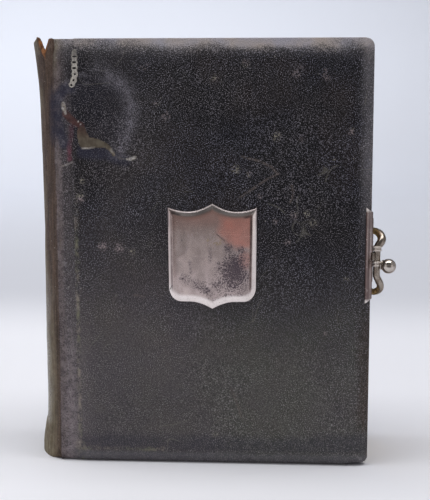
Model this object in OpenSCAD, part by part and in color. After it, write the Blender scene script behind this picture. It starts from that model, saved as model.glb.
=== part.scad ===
// Victorian photograph album: a leather-covered case binding with stiff card
// leaves on cloth hinges, a shield-shaped nickel plate on the front and a
// sprung wire clasp on the fore-edge. Millimetres, +Z up, front at -Y, spine
// at -X. The origin is the middle of the bottom of the whole album.

/* [Album] */
// Height of the covers
album_h = 152; // [140:1:175]
// Thickness over both covers
album_t = 40; // [38:0.5:46]
// Width of one cover, from its joint to the fore-edge
board_w = 104; // [98:1:116]
// Width of the flexible joint between spine and cover
joint_w = 7; // [6.6:0.1:8]
// How far the rounded spine stands out behind the joints
spine_bulge = 7.5; // [6.5:0.5:9]

/* [Covers] */
// Thickness of a finished cover
cover_t = 4.9; // [4.7:0.1:5.2]
// Thickness of the covering leather
leather_t = 0.8; // [0.6:0.1:0.9]
// Width of the bevel round the outer edges
bevel_w = 4.6; // [4:0.1:5.4]
// Depth of the bevel at the edge
bevel_d = 2.2; // [1.8:0.1:2.4]
// Radius of the fore-edge corners
corner_r = 2.6; // [2:0.1:4]
// Width of the leather turned in over the inside of a board
turn_w = 10; // [8:0.5:14]

/* [Leaves] */
// Margin by which the covers stand past the leaves at head and tail
square_w = 3.5; // [3:0.1:5]
// Free gap between neighbouring leaves
leaf_gap = 0.3; // [0.25:0.05:0.45]
// Width of the picture window
window_w = 54; // [48:1:58]
// Height of the picture window
window_h = 88; // [80:1:94]

/* [Shield] */
// Width of the shield plate
shield_w = 31.5; // [26:0.5:38]
// Height of the shield plate
shield_h = 37.7; // [30:0.5:44]
// How far the shield stands out of the leather
shield_rise = 1.2; // [1:0.1:1.8]

/* [Clasp] */
// Length of the two clasp plates
plate_len = 34; // [33:0.2:40]
// Diameter of the bow wire
wire_d = 2.3; // [1.8:0.1:2.4]
// Diameter of the ball on the bow
knob_d = 5.2; // [4:0.1:6]
// How far the bow sits below the middle of the plates
bow_drop = 3.2; // [2.8:0.1:3.4]

/* [Hidden] */
$fn = 64;
n_leaf = 12;

// thumb ball and its distance from the bar of the bow
bar_u = 2.1;
bar_v = 3.0;
knob_dir = unit([0.903, -0.405, -0.135]);
knob_far = knob_d / 2 + 1.84;
clasp_out = bar_u + knob_dir[0] * knob_far + knob_d / 2;

// plan positions
total_w = spine_bulge + joint_w + board_w + clasp_out;
x_left = -total_w / 2;
x_a = x_left + spine_bulge;
x_b = x_a + joint_w;
x_f = x_b + board_w;
// the middle of the covers lies behind the origin by half of what stands out
// in front of them
ym = max(shield_rise, knob_d / 2 - knob_dir[1] * knob_far - bar_v) / 2;
y_f = ym - album_t / 2;
joint_v = 2.4;
x_j = (x_a + x_b) / 2;
y_j = y_f + joint_v;
bead_r = 1.3;
turn_t = 0.5;

// spine arc
half_chord = album_t / 2 - 0.6;
spine_r = (half_chord * half_chord + spine_bulge * spine_bulge) / (2 * spine_bulge);
spine_x = x_left + spine_r;
spine_t = 0.9;

// leaves
leaf_pitch = (album_t - 2 * cover_t - 0.4) / n_leaf;
leaf_t = leaf_pitch - leaf_gap;
x_ax = x_j + 5;
leaf_x0 = x_ax + 8;
leaf_x1 = x_f - 4.5;
leaf_z0 = square_w;
leaf_z1 = album_h - square_w;
cloth_t = 0.4;
cloth_in = 10;
function leaf_y(i) = ym + (i - (n_leaf - 1) / 2) * leaf_pitch;

// clasp
z_p = album_h / 2 + 0.6;
z_bow = z_p - bow_drop;
wire_r = wire_d / 2;
plate_t = 0.45;
hinge_u = 2.1;
hinge_v = album_t - 3;
barrel_r = 1.35;
pin_r = 0.6;
ring_hi = z_p + 2.4;
ring_lo = z_p - 3;
ring_r = 1.62;
rivet_z = [z_p - 12, z_p, z_p + 12];

// ---------------------------------------------------------------- helpers

// puts a shape made for the front on the back
module to_back() translate([0, ym, 0]) mirror([0, 1, 0]) translate([0, -ym, 0]) children();

// box between two corners
module slab(a, b) translate(a) cube(b - a);

// drawing in X and Z, made solid from y0 to y1
module upright(y0, y1) translate([0, y1, 0]) rotate([90, 0, 0]) linear_extrude(y1 - y0) children();

// outline of a cover with its two fore-edge corners rounded
module cover_outline(o, r) {
  x0 = x_b + o; x1 = x_f - o; z0 = o; z1 = album_h - o;
  translate([x0, z0]) square([x1 - x0 - r, z1 - z0]);
  translate([x1 - r - 1, z0 + r]) square([r + 1, z1 - z0 - 2 * r]);
  translate([x1 - r, z0 + r]) circle(r);
  translate([x1 - r, z1 - r]) circle(r);
}

bev_a = atan(bevel_d / bevel_w);
// distance in from the edge at which the bevel, moved in by o, has depth v
function bev_in(v, o) = bevel_w + o * sin(bev_a) - (v - o * cos(bev_a)) / tan(bev_a);

// wedge that cuts one bevelled edge: drawn as distance in from the edge and depth
module bevel_wedge(o) polygon([[bev_in(-1, o), -1], [-1, -1], [-1, (bevel_w + 1 + o * sin(bev_a)) * tan(bev_a) + o * cos(bev_a)]]);

// cover with its bevelled head, tail and fore-edge, moved in by o on every
// outer side, and ending at depth v1
module cover_solid(o, v1) difference() {
  upright(y_f + o, y_f + v1) cover_outline(o, corner_r - o * 0.6);
  translate([x_f, y_f, -1]) mirror([1, 0, 0]) linear_extrude(album_h + 2) bevel_wedge(o);
  translate([x_b - 1, y_f, 0]) rotate([90, 0, 90]) linear_extrude(board_w + 2) mirror([1, -1]) bevel_wedge(o);
  translate([x_b - 1, y_f, album_h]) mirror([0, 0, 1]) rotate([90, 0, 90]) linear_extrude(board_w + 2) mirror([1, -1]) bevel_wedge(o);
}

// ---------------------------------------------------------------- covers

module rivet_holes() for (z = rivet_z) translate([x_f - 2.6, y_f + cover_t - 2.6, z]) rotate([-90, 0, 0]) cylinder(r = 0.55, h = 2.6);

module plate_recess() slab([x_f - 4.5, y_f + cover_t - turn_t, z_p - plate_len / 2], [x_f, y_f + cover_t + 1, z_p + plate_len / 2]);

module inside_window() slab([x_b + 4, y_f + cover_t - turn_t, turn_w], [x_f - turn_w, y_f + cover_t + 1, album_h - turn_w]);

module cover_core() difference() {
  cover_solid(leather_t, cover_t - turn_t);
  slab([x_b - 1, y_f - 1, -1], [x_b + leather_t, y_f + cover_t + 1, album_h + 1]);
}

module cover_board() difference() { cover_core(); rivet_holes(); }

module cover_leather() difference() {
  union() {
    cover_solid(0, cover_t);
    slab([x_j + 0.9, y_j - 0.6, 0], [x_b + 0.1, y_j + 0.6, album_h]);
  }
  cover_core();
  inside_window();
  plate_recess();
  translate([x_j, y_j, -1]) cylinder(r = bead_r + 0.08, h = album_h + 2);
}

module cover_paper() slab([x_b + 4, y_f + cover_t - turn_t, turn_w], [x_f - turn_w, y_f + cover_t, album_h - turn_w]);

// clasp plate as a channel over the fore-edge, drawn as distance out from the
// fore-edge and depth from the outer face, with mitred ends
module plate_channel() intersection() {
  translate([x_f, y_f, z_p - plate_len / 2]) linear_extrude(plate_len) polygon([
    [-2.1, bevel_d - 2.1 * tan(bev_a)], [-1.95, bevel_d - 1.25], [-1.2, bevel_d - 1.58],
    [plate_t, bevel_d - 0.34], [plate_t, cover_t], [-4.5, cover_t],
    [-4.5, cover_t - turn_t], [0, cover_t - turn_t], [0, bevel_d]]);
  upright(y_f - 1, y_f + cover_t + 1) polygon([
    [x_f - 6, z_p - plate_len / 2], [x_f - 2, z_p - plate_len / 2], [x_f + 0.7, z_p - plate_len / 2 + 1.9],
    [x_f + 0.7, z_p + plate_len / 2 - 1.9], [x_f - 2, z_p + plate_len / 2], [x_f - 6, z_p + plate_len / 2]]);
}

module plate_pins() intersection() {
  rivet_holes();
  slab([x_f - 6, y_f, 0], [x_f, y_f + cover_t, album_h]);
}

module front_board() color("#8a7a62") difference() { cover_board(); shield_pin_set(); }
module front_leather() color("#2a2a2c") difference() { cover_leather(); shield_pin_set(); }
module front_pastedown() color("#d9d3c2") cover_paper();
module front_clasp_plate() color("#b9b6b0") difference() { plate_channel(); rivet_holes(); }
module front_plate_rivets() color("#a9a6a0") plate_pins();

module back_board() color("#8a7a62") to_back() cover_board();
module back_leather() color("#2a2a2c") to_back() cover_leather();
module back_pastedown() color("#d9d3c2") to_back() cover_paper();
module back_plate_rivets() color("#a9a6a0") to_back() plate_pins();

module back_clasp_plate() color("#b9b6b0") difference() {
  union() {
    difference() { to_back() plate_channel(); to_back() rivet_holes(); }
    translate([x_f + hinge_u, y_f + hinge_v, z_bow - 7]) cylinder(r = barrel_r, h = 14);
    slab([x_f + plate_t - 0.1, y_f + hinge_v - barrel_r, z_bow - 7], [x_f + hinge_u, y_f + hinge_v + barrel_r, z_bow + 7]);
  }
  translate([x_f + hinge_u, y_f + hinge_v, z_bow - 8]) cylinder(r = pin_r, h = 16);
}

module clasp_hinge_pin() color("#a9a6a0") translate([x_f + hinge_u, y_f + hinge_v, z_bow]) {
  translate([0, 0, -12.9]) cylinder(r = pin_r, h = 25.8);
  translate([0, 0, 12.4]) cylinder(r = 1, h = 0.6);
  translate([0, 0, -13]) cylinder(r = 1, h = 0.6);
}

// spring clip on the front plate that grips the bar of the bow
module catch_jaw() color("#a9a6a0") translate([x_f, y_f, z_p - 1.6]) {
  lip = wire_r + 0.12;
  slab([plate_t, bar_v - lip - 0.45, 0], [plate_t + 0.3, bar_v + lip + 0.5, 2.6]);
  slab([plate_t, bar_v - lip - 0.45, 0], [bar_u - 0.9, bar_v - lip, 2.6]);
  slab([plate_t, bar_v + lip, 0], [bar_u + 0.3, bar_v + lip + 0.5, 2.6]);
}

// ---------------------------------------------------------------- shield

shield_x = x_f - 55.7;
shield_z = album_h / 2 + 0.1;
sw = shield_w / 2;
sh = shield_h / 2;
// top edge: two shallow scallops that meet in a peak, as shares of the half width
// and half height
dip_x = 0.548;
function top_z(x) = 0.845 + (x < dip_x ? 0.516 : 0.40) * pow(x - dip_x, 2);
// right half of the shield, from the peak of its top to its bottom point
shield_half = concat(
  [for (i = [0:8]) let (x = dip_x * i / 8) [sw * x, sh * top_z(x)]],
  [for (i = [1:6]) let (x = dip_x + (1 - dip_x) * i / 6) [sw * x, sh * top_z(x)]],
  [[sw * 0.985, sh * -0.58]],
  [for (a = [15:15:90]) [sw * (0.70 + 0.285 * cos(a)), sh * (-0.58 - 0.283 * sin(a))]],
  [for (i = [0:6]) let (t = i / 6) [sw * 0.473 * (1 - t), sh * (-0.866 - 0.134 * pow(t, 1.7))]]);
module shield_outline(k) polygon([
  for (p = shield_half) [shield_x + p[0] * k, shield_z + p[1] * k],
  for (i = [len(shield_half) - 2:-1:1]) [shield_x - shield_half[i][0] * k, shield_z + shield_half[i][1] * k]]);

module shield_plate() color("#b7b4ae") {
  upright(y_f - 0.5, y_f) shield_outline(1);
  upright(y_f - shield_rise * 0.8, y_f - 0.5) shield_outline(0.94);
  upright(y_f - shield_rise, y_f - shield_rise * 0.8) shield_outline(0.88);
}

module shield_pin_set() for (x = [-0.62, 0.62], z = [-0.55, 0.6])
  translate([shield_x + sw * x, y_f, shield_z + sh * z]) rotate([-90, 0, 0]) cylinder(r = 0.5, h = 3.4);
module shield_pins() color("#a9a6a0") shield_pin_set();

// ---------------------------------------------------------------- spine

module spine_shell(r1, r0, z0, z1, half) intersection() {
  difference() {
    translate([spine_x, ym, z0]) cylinder(r = r1, h = z1 - z0, $fn = 128);
    translate([spine_x, ym, z0 - 1]) cylinder(r = r0, h = z1 - z0 + 2, $fn = 128);
  }
  slab([x_left - 1, ym - half, z0], [x_a, ym + half, z1]);
}

module joint_strip() {
  slab([x_a - spine_t, y_f + 1.7, 0], [x_a, y_j + 0.45, album_h]);
  slab([x_a - spine_t, y_j - 0.45, 0], [x_j, y_j + 0.45, album_h]);
  translate([x_j, y_j, 0]) cylinder(r = bead_r, h = album_h);
}

module spine_leather() color("#3a3228") {
  spine_shell(spine_r, spine_r - spine_t, 0, album_h, album_t / 2);
  joint_strip();
  to_back() joint_strip();
}
module spine_lining() color("#9c8d70") spine_shell(spine_r - spine_t, spine_r - spine_t - 1, square_w, album_h - square_w, album_t / 2 - 3.6);
module spine_linen() color("#cfc6b0") spine_shell(spine_r - spine_t - 1, spine_r - spine_t - 1.5, square_w + 2, album_h - square_w - 2, album_t / 2 - cover_t - 0.6);

// stubs of card that the leaves are hung on, one for each leaf
module leaf_guards() color("#d8ccb0") for (i = [0:n_leaf - 1]) difference() {
  intersection() {
    translate([spine_x, ym, leaf_z0]) cylinder(r = spine_r - spine_t - 1.5, h = leaf_z1 - leaf_z0, $fn = 128);
    slab([x_left, leaf_y(i) - leaf_pitch / 2 + 0.03, leaf_z0], [x_ax - 0.35, leaf_y(i) + leaf_pitch / 2 - 0.03, leaf_z1]);
  }
  translate([x_ax, leaf_y(i), leaf_z0 - 1]) cylinder(r = 0.5, h = album_h);
}

// ---------------------------------------------------------------- leaves

leaf_mid = (leaf_x0 + leaf_x1) / 2 + 1;
win_z0 = album_h / 2 - window_h / 2 + 1;
card_t = 0.55;
pocket_t = (leaf_t - 0.2) / 2 - card_t;

// picture window with an arched head
module window_outline() {
  a = window_w / 2;
  k = window_h - 16;
  polygon(concat([[leaf_mid - a, win_z0], [leaf_mid + a, win_z0], [leaf_mid + a, win_z0 + k]],
    [for (t = [15:15:165]) [leaf_mid + a * cos(t), win_z0 + k + 16 * sin(t)]], [[leaf_mid - a, win_z0 + k]]));
}

module leaf(i) color("#e6dcc4") difference() {
  y0 = leaf_y(i) - leaf_t / 2;
  y1 = leaf_y(i) + leaf_t / 2;
  slab([leaf_x0, y0, leaf_z0], [leaf_x1, y1, leaf_z1]);
  // windows in both faces
  upright(y0 - 1, y0 + card_t + 0.01) window_outline();
  upright(y1 - card_t - 0.01, y1 + 1) window_outline();
  // pockets behind the windows, open at the tail
  slab([leaf_mid - 33, y0 + card_t, leaf_z0 - 1], [leaf_mid + 33, y0 + card_t + pocket_t, win_z0 + window_h + 6]);
  slab([leaf_mid - 33, y1 - card_t - pocket_t, leaf_z0 - 1], [leaf_mid + 33, y1 - card_t, win_z0 + window_h + 6]);
  // slot for the cloth
  slab([leaf_x0 - 1, leaf_y(i) - cloth_t / 2, leaf_z0 + 1], [leaf_x0 + cloth_in, leaf_y(i) + cloth_t / 2, leaf_z1 - 1]);
}

module leaf_hinge(i) color("#c9bda0") {
  slab([x_ax, leaf_y(i) - cloth_t / 2, leaf_z0 + 1], [leaf_x0 + cloth_in, leaf_y(i) + cloth_t / 2, leaf_z1 - 1]);
  translate([x_ax, leaf_y(i), leaf_z0 + 1]) cylinder(r = 0.42, h = leaf_z1 - leaf_z0 - 2);
}

module leaf_01() leaf(0);
module leaf_02() leaf(1);
module leaf_03() leaf(2);
module leaf_04() leaf(3);
module leaf_05() leaf(4);
module leaf_06() leaf(5);
module leaf_07() leaf(6);
module leaf_08() leaf(7);
module leaf_09() leaf(8);
module leaf_10() leaf(9);
module leaf_11() leaf(10);
module leaf_12() leaf(11);
module leaf_hinge_01() leaf_hinge(0);
module leaf_hinge_02() leaf_hinge(1);
module leaf_hinge_03() leaf_hinge(2);
module leaf_hinge_04() leaf_hinge(3);
module leaf_hinge_05() leaf_hinge(4);
module leaf_hinge_06() leaf_hinge(5);
module leaf_hinge_07() leaf_hinge(6);
module leaf_hinge_08() leaf_hinge(7);
module leaf_hinge_09() leaf_hinge(8);
module leaf_hinge_10() leaf_hinge(9);
module leaf_hinge_11() leaf_hinge(10);
module leaf_hinge_12() leaf_hinge(11);

// ---------------------------------------------------------------- bow

// the bow wire from the middle of its bar up, and down, to its hinge: distance
// out from the fore-edge, depth from the front, height over its middle
bow_up = [[bar_u, bar_v, 5.6], [bar_u, bar_v, 6.6], [bar_u + 0.4, bar_v + 0.2, 7.7], [3.3, 3.8, 8.9], [3.5, 4.9, 10],
  [2.8, 6.5, 10.9], [1.8, 8.1, 11.1], [0.9, 10, 11.1], [0.5, 13, 11.1], [0.4, album_t / 2, 11.1],
  [0.5, album_t - 13, 11.1], [1.2, album_t - 9, 10.9], [2, album_t - 5.8, 10.2], [hinge_u, album_t - 4, 9.9]];
bow_down = [[bar_u, bar_v, 0], [bar_u, bar_v, -3.2], [bar_u + 0.25, bar_v + 0.15, -4.8], [3.4, 3.9, -7], [3.55, 5.3, -9.3],
  [2.4, 7.2, -10.7], [1.1, 9.2, -11.1], [0.5, 12, -11.1], [0.4, album_t / 2, -11.1],
  [0.5, album_t - 13, -11.1], [1.2, album_t - 9, -10.9], [2, album_t - 5.8, -10.2], [hinge_u, album_t - 4, -9.9]];
bow_key = concat([for (i = [len(bow_down) - 1:-1:0]) bow_down[i]], bow_up);
function cr(a, b, c, d, t) = 0.5 * (2 * b + (c - a) * t + (2 * a - 5 * b + 4 * c - d) * t * t + (3 * b - a - 3 * c + d) * t * t * t);
nk = len(bow_key);
bow_step = 3;
function key(i) = bow_key[max(0, min(nk - 1, i))];
bow_path = concat([for (i = [0:nk - 2], j = [0:bow_step - 1]) cr(key(i - 1), key(i), key(i + 1), key(i + 2), j / bow_step)], [bow_key[nk - 1]]);
np = len(bow_path);
sides = 12;
function unit(v) = v / norm(v);
function tangent(i) = unit(bow_path[min(np - 1, i + 1)] - bow_path[max(0, i - 1)]);
function side_dir(t) = unit([1, 0, 0] - t[0] * t);
bow_pts = [for (i = [0:np - 1], j = [0:sides - 1]) let (t = tangent(i), n = side_dir(t), b = cross(t, n), a = 360 * j / sides)
  bow_path[i] + wire_r * (cos(a) * n + sin(a) * b)];
bow_faces = concat([[for (j = [0:sides - 1]) j]], [[for (j = [sides - 1:-1:0]) (np - 1) * sides + j]],
  [for (i = [0:np - 2], j = [0:sides - 1]) [i * sides + j, (i + 1) * sides + j, (i + 1) * sides + (j + 1) % sides]],
  [for (i = [0:np - 2], j = [0:sides - 1]) [i * sides + j, (i + 1) * sides + (j + 1) % sides, i * sides + (j + 1) % sides]]);

module clasp_bow() color("#9a7b45") translate([x_f, y_f, z_bow]) polyhedron(bow_pts, bow_faces);

module bow_barrels() color("#9a7b45") for (z = [7.2, -12.2]) translate([x_f + hinge_u, y_f + hinge_v, z_bow + z]) difference() {
  cylinder(r = barrel_r, h = 5);
  translate([0, 0, -1]) cylinder(r = pin_r + 0.05, h = 7);
}

// turned collars on the bar
module bow_collars() color("#b9b6b0") for (z = [ring_hi, ring_lo]) translate([x_f + bar_u, y_f + bar_v, z]) difference() {
  union() {
    translate([0, 0, -0.9]) cylinder(r = ring_r, h = 0.7);
    translate([0, 0, -0.25]) cylinder(r = 1.4, h = 0.5);
    translate([0, 0, 0.2]) cylinder(r = ring_r, h = 0.7);
  }
  translate([0, 0, -2]) cylinder(r = wire_r + 0.02, h = 4);
}

// ball to pull the bow open by, on a short neck out of the lower collar
module thumb_knob() color("#b9b6b0") difference() {
  translate([x_f + bar_u, y_f + bar_v, ring_lo]) rotate([0, 0, atan2(knob_dir[1], knob_dir[0])]) rotate([0, 90 - asin(knob_dir[2]), 0]) {
    translate([0, 0, 1.3]) cylinder(r = 0.75, h = 1.4);
    translate([0, 0, 1.85]) cylinder(r = 1.7, h = 0.45);
    translate([0, 0, knob_far]) sphere(r = knob_d / 2);
  }
  translate([x_f + bar_u, y_f + bar_v, ring_lo - 3]) cylinder(r = ring_r + 0.02, h = 6);
}

// ---------------------------------------------------------------- drawing

back_board();
back_leather();
back_pastedown();
back_clasp_plate();
back_plate_rivets();
clasp_hinge_pin();
spine_leather();
spine_lining();
spine_linen();
leaf_guards();
front_board();
front_leather();
front_pastedown();
shield_plate();
shield_pins();
front_clasp_plate();
front_plate_rivets();
catch_jaw();
clasp_bow();
bow_barrels();
bow_collars();
thumb_knob();
leaf_01();
leaf_02();
leaf_03();
leaf_04();
leaf_05();
leaf_06();
leaf_07();
leaf_08();
leaf_09();
leaf_10();
leaf_11();
leaf_12();
leaf_hinge_01();
leaf_hinge_02();
leaf_hinge_03();
leaf_hinge_04();
leaf_hinge_05();
leaf_hinge_06();
leaf_hinge_07();
leaf_hinge_08();
leaf_hinge_09();
leaf_hinge_10();
leaf_hinge_11();
leaf_hinge_12();
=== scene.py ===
import math

import bmesh
import bpy
import numpy as np
from mathutils import Matrix, Vector


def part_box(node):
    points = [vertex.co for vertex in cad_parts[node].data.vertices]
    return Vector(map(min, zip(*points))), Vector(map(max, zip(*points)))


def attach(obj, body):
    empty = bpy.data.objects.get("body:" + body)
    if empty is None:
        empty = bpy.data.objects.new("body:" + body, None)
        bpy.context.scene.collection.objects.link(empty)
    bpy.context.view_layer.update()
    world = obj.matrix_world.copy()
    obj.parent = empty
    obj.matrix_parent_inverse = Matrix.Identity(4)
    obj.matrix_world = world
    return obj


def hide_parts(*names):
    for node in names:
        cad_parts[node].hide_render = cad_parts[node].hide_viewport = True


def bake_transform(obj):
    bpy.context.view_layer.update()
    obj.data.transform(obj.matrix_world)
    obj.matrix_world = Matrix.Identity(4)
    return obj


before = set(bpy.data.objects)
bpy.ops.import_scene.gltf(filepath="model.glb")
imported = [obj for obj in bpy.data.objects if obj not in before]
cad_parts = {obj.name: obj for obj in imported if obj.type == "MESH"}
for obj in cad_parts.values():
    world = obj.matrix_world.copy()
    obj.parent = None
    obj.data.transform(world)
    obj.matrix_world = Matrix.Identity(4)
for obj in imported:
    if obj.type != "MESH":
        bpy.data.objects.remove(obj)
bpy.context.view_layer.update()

# ------------------------------------------------------------------ numbers
# Millimetres, the same as the CAD model's.
H, T, BOARD, JOINT = 152.0, 40.0, 104.0, 7.0
COVER_T, BEV_W, BEV_D = 4.9, 4.6, 2.2
BAR_U, BAR_V = 2.1, 3.0
KNOB_D = 5.2
KNOB_DIR = Vector((0.903, -0.405, -0.135)).normalized()
KNOB_FAR = KNOB_D / 2 + 1.84
OUT = BAR_U + KNOB_DIR[0] * KNOB_FAR + KNOB_D / 2
XL = -(7.5 + JOINT + BOARD + OUT) / 2
XA = XL + 7.5
XB = XA + JOINT
XF = XB + BOARD
YM = max(1.2, KNOB_D / 2 - KNOB_DIR[1] * KNOB_FAR - BAR_V) / 2
YF, YB = YM - T / 2, YM + T / 2
XJ, YJ = (XA + XB) / 2, YF + 2.4
XAX = XJ + 5
NLEAF = 12
PITCH = (T - 2 * COVER_T - 0.4) / NLEAF
LEAF_T = PITCH - 0.3
ZP = H / 2 + 0.6
ZBOW = ZP - 3.2
RING_HI, RING_LO = ZP + 2.4, ZP - 3.0
HINGE_U, HINGE_V = 2.1, T - 3


def leaf_y(i):
    return YM + (i - (NLEAF - 1) / 2) * PITCH


# ------------------------------------------------------------------ helpers
def smooth(a, b, x):
    t = np.clip((np.asarray(x, float) - a) / (b - a), 0, 1)
    return t * t * (3 - 2 * t)


def vnoise(x, y, size, seed):
    """Value noise from 0 to 1 with cells of that size."""
    rng = np.random.RandomState(seed)
    table = rng.rand(64, 64)
    gx, gy = np.asarray(x, float) / size, np.asarray(y, float) / size
    ix, iy = np.floor(gx).astype(int), np.floor(gy).astype(int)
    fx, fy = gx - ix, gy - iy
    fx, fy = fx * fx * (3 - 2 * fx), fy * fy * (3 - 2 * fy)
    g = lambda a, b: table[a % 64, b % 64]
    return (g(ix, iy) * (1 - fx) + g(ix + 1, iy) * fx) * (1 - fy) + (g(ix, iy + 1) * (1 - fx) + g(ix + 1, iy + 1) * fx) * fy


def fbm(x, y, size, seed, octaves=4):
    total, weight, amp = 0, 0, 1.0
    for k in range(octaves):
        total = total + amp * vnoise(x, y, size / 2**k, seed + 17 * k)
        weight += amp
        amp *= 0.55
    return total / weight


def line_far(x, z, pts):
    """Distance from each point to a bent line."""
    best = np.full(np.shape(x), 1e9)
    for (x0, z0), (x1, z1) in zip(pts[:-1], pts[1:]):
        dx, dz = x1 - x0, z1 - z0
        t = np.clip(((x - x0) * dx + (z - z0) * dz) / (dx * dx + dz * dz), 0, 1)
        best = np.minimum(best, np.hypot(x - x0 - t * dx, z - z0 - t * dz))
    return best


def inside(x, z, pts):
    """True inside a polygon."""
    hit = np.zeros(np.shape(x), bool)
    for (x0, z0), (x1, z1) in zip(pts, pts[1:] + pts[:1]):
        cross = (z0 > z) != (z1 > z)
        with np.errstate(divide="ignore", invalid="ignore"):
            hit ^= cross & (x < (x1 - x0) * (z - z0) / (z1 - z0 + 1e-12) + x0)
    return hit


def make(name, verts, faces, mats, smooth_shade=True, slots=None):
    """A new object from points in millimetres."""
    me = bpy.data.meshes.new(name)
    me.from_pydata([tuple(c * 0.001 for c in v) for v in verts], [], [tuple(f) for f in faces])
    for m in mats:
        me.materials.append(m)
    if slots is not None:
        me.polygons.foreach_set("material_index", np.asarray(slots, np.int32))
    if smooth_shade:
        me.polygons.foreach_set("use_smooth", np.ones(len(me.polygons), bool))
    me.update()
    ob = bpy.data.objects.new(name, me)
    bpy.context.scene.collection.objects.link(ob)
    return ob


def attr(ob, name, values):
    a = ob.data.attributes.new(name, "FLOAT", "POINT")
    a.data.foreach_set("value", np.asarray(values, np.float32))


def grid_faces(rows, cols, base=0, wrap=False, flip=False):
    out = []
    for i in range(rows - 1):
        for j in range(cols if wrap else cols - 1):
            k = (j + 1) % cols
            f = (base + i * cols + j, base + i * cols + k, base + (i + 1) * cols + k, base + (i + 1) * cols + j)
            out.append(f[::-1] if flip else f)
    return out


def mend(ob, recalc=True):
    bm = bmesh.new()
    bm.from_mesh(ob.data)
    bmesh.ops.remove_doubles(bm, verts=bm.verts, dist=1e-7)
    bmesh.ops.dissolve_degenerate(bm, edges=bm.edges, dist=1e-7)
    if recalc:
        bmesh.ops.recalc_face_normals(bm, faces=bm.faces)
    bm.to_mesh(ob.data)
    bm.free()


def revolve(name, profile, mats, n=48):
    """Turns a profile of (radius, height) about Z; ends with radius 0 close."""
    verts, faces = [], []
    for r, h in profile:
        for k in range(n):
            a = 2 * math.pi * k / n
            verts.append((r * math.cos(a), r * math.sin(a), h))
    faces = grid_faces(len(profile), n, wrap=True)
    ob = make(name, verts, faces, mats)
    mend(ob)
    return ob


def sharp_by_angle(ob, degrees):
    """Smooth shading that breaks at edges steeper than this."""
    bm = bmesh.new()
    bm.from_mesh(ob.data)
    for e in bm.edges:
        e.smooth = e.is_manifold and e.calc_face_angle(0) < math.radians(degrees)
    bm.to_mesh(ob.data)
    bm.free()


# ------------------------------------------------------------------ materials
class Mat:
    """A node material with a Principled shader, and short ways to add nodes."""

    def __init__(self, name):
        self.m = bpy.data.materials.new(name)
        self.m.use_nodes = True
        self.t = self.m.node_tree
        self.b = self.t.nodes["Principled BSDF"]
        self.co = self.t.nodes.new("ShaderNodeTexCoord").outputs["Object"]

    def node(self, kind, **props):
        n = self.t.nodes.new(kind)
        for k, v in props.items():
            setattr(n, k, v)
        return n

    def link(self, a, b):
        self.t.links.new(a, b)

    def put(self, value, socket):
        if isinstance(value, bpy.types.NodeSocket):
            self.link(value, socket)
        else:
            socket.default_value = value

    def math(self, op, a, b=0.0, c=0.0, clamp=False):
        n = self.node("ShaderNodeMath", operation=op, use_clamp=clamp)
        for v, s in zip((a, b, c), n.inputs):
            self.put(v, s)
        return n.outputs[0]

    def mix(self, f, a, b):
        n = self.node("ShaderNodeMix", data_type="RGBA", clamp_factor=True)
        self.put(f, n.inputs[0])
        for v, s in ((a, n.inputs[6]), (b, n.inputs[7])):
            self.put((*v, 1.0) if isinstance(v, tuple) else v, s)
        return n.outputs[2]

    def ramp(self, value, lo, hi, a=0.0, b=1.0):
        n = self.node("ShaderNodeMapRange", interpolation_type="SMOOTHSTEP")
        self.put(value, n.inputs[0])
        for v, k in ((lo, 1), (hi, 2), (a, 3), (b, 4)):
            n.inputs[k].default_value = v
        return n.outputs[0]

    def stretch(self, sx, sy, sz, base=None):
        n = self.node("ShaderNodeMapping")
        self.link(base or self.co, n.inputs["Vector"])
        n.inputs["Scale"].default_value = (sx, sy, sz)
        return n.outputs[0]

    def noise(self, scale, detail=4.0, rough=0.55, co=None, distort=0.0):
        n = self.node("ShaderNodeTexNoise")
        self.link(co or self.co, n.inputs["Vector"])
        n.inputs["Scale"].default_value = scale
        n.inputs["Detail"].default_value = detail
        n.inputs["Roughness"].default_value = rough
        n.inputs["Distortion"].default_value = distort
        return n.outputs[0]

    def cells(self, scale, feature="F1", co=None, out="Distance", random=1.0):
        n = self.node("ShaderNodeTexVoronoi", feature=feature)
        self.link(co or self.co, n.inputs["Vector"])
        n.inputs["Scale"].default_value = scale
        n.inputs["Randomness"].default_value = random
        return n.outputs[out]

    def warp(self, scale, amount, base=None):
        """Coordinates pushed about by noise, so that cells don't look drawn."""
        n = self.node("ShaderNodeTexNoise")
        self.link(base or self.co, n.inputs["Vector"])
        n.inputs["Scale"].default_value = scale
        n.inputs["Detail"].default_value = 2.0
        v = self.node("ShaderNodeVectorMath", operation="MULTIPLY_ADD")
        self.link(n.outputs["Color"], v.inputs[0])
        v.inputs[1].default_value = (amount,) * 3
        self.link(base or self.co, v.inputs[2])
        return v.outputs[0]

    def attribute(self, name):
        n = self.node("ShaderNodeAttribute", attribute_name=name)
        return n.outputs["Fac"]

    def bump(self, height, strength, distance, after=None):
        n = self.node("ShaderNodeBump")
        n.inputs["Strength"].default_value = strength
        n.inputs["Distance"].default_value = distance
        self.link(height, n.inputs["Height"])
        if after is not None:
            self.link(after, n.inputs["Normal"])
        return n.outputs[0]

    def done(self, color=None, rough=None, normal=None, metal=0.0, **sockets):
        for v, s in ((color, "Base Color"), (rough, "Roughness"), (normal, "Normal")):
            if v is not None:
                self.put((*v, 1.0) if isinstance(v, tuple) else v, self.b.inputs[s])
        self.b.inputs["Metallic"].default_value = metal
        for k, v in sockets.items():
            self.b.inputs[k.replace("_", " ")].default_value = v
        return self.m


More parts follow.
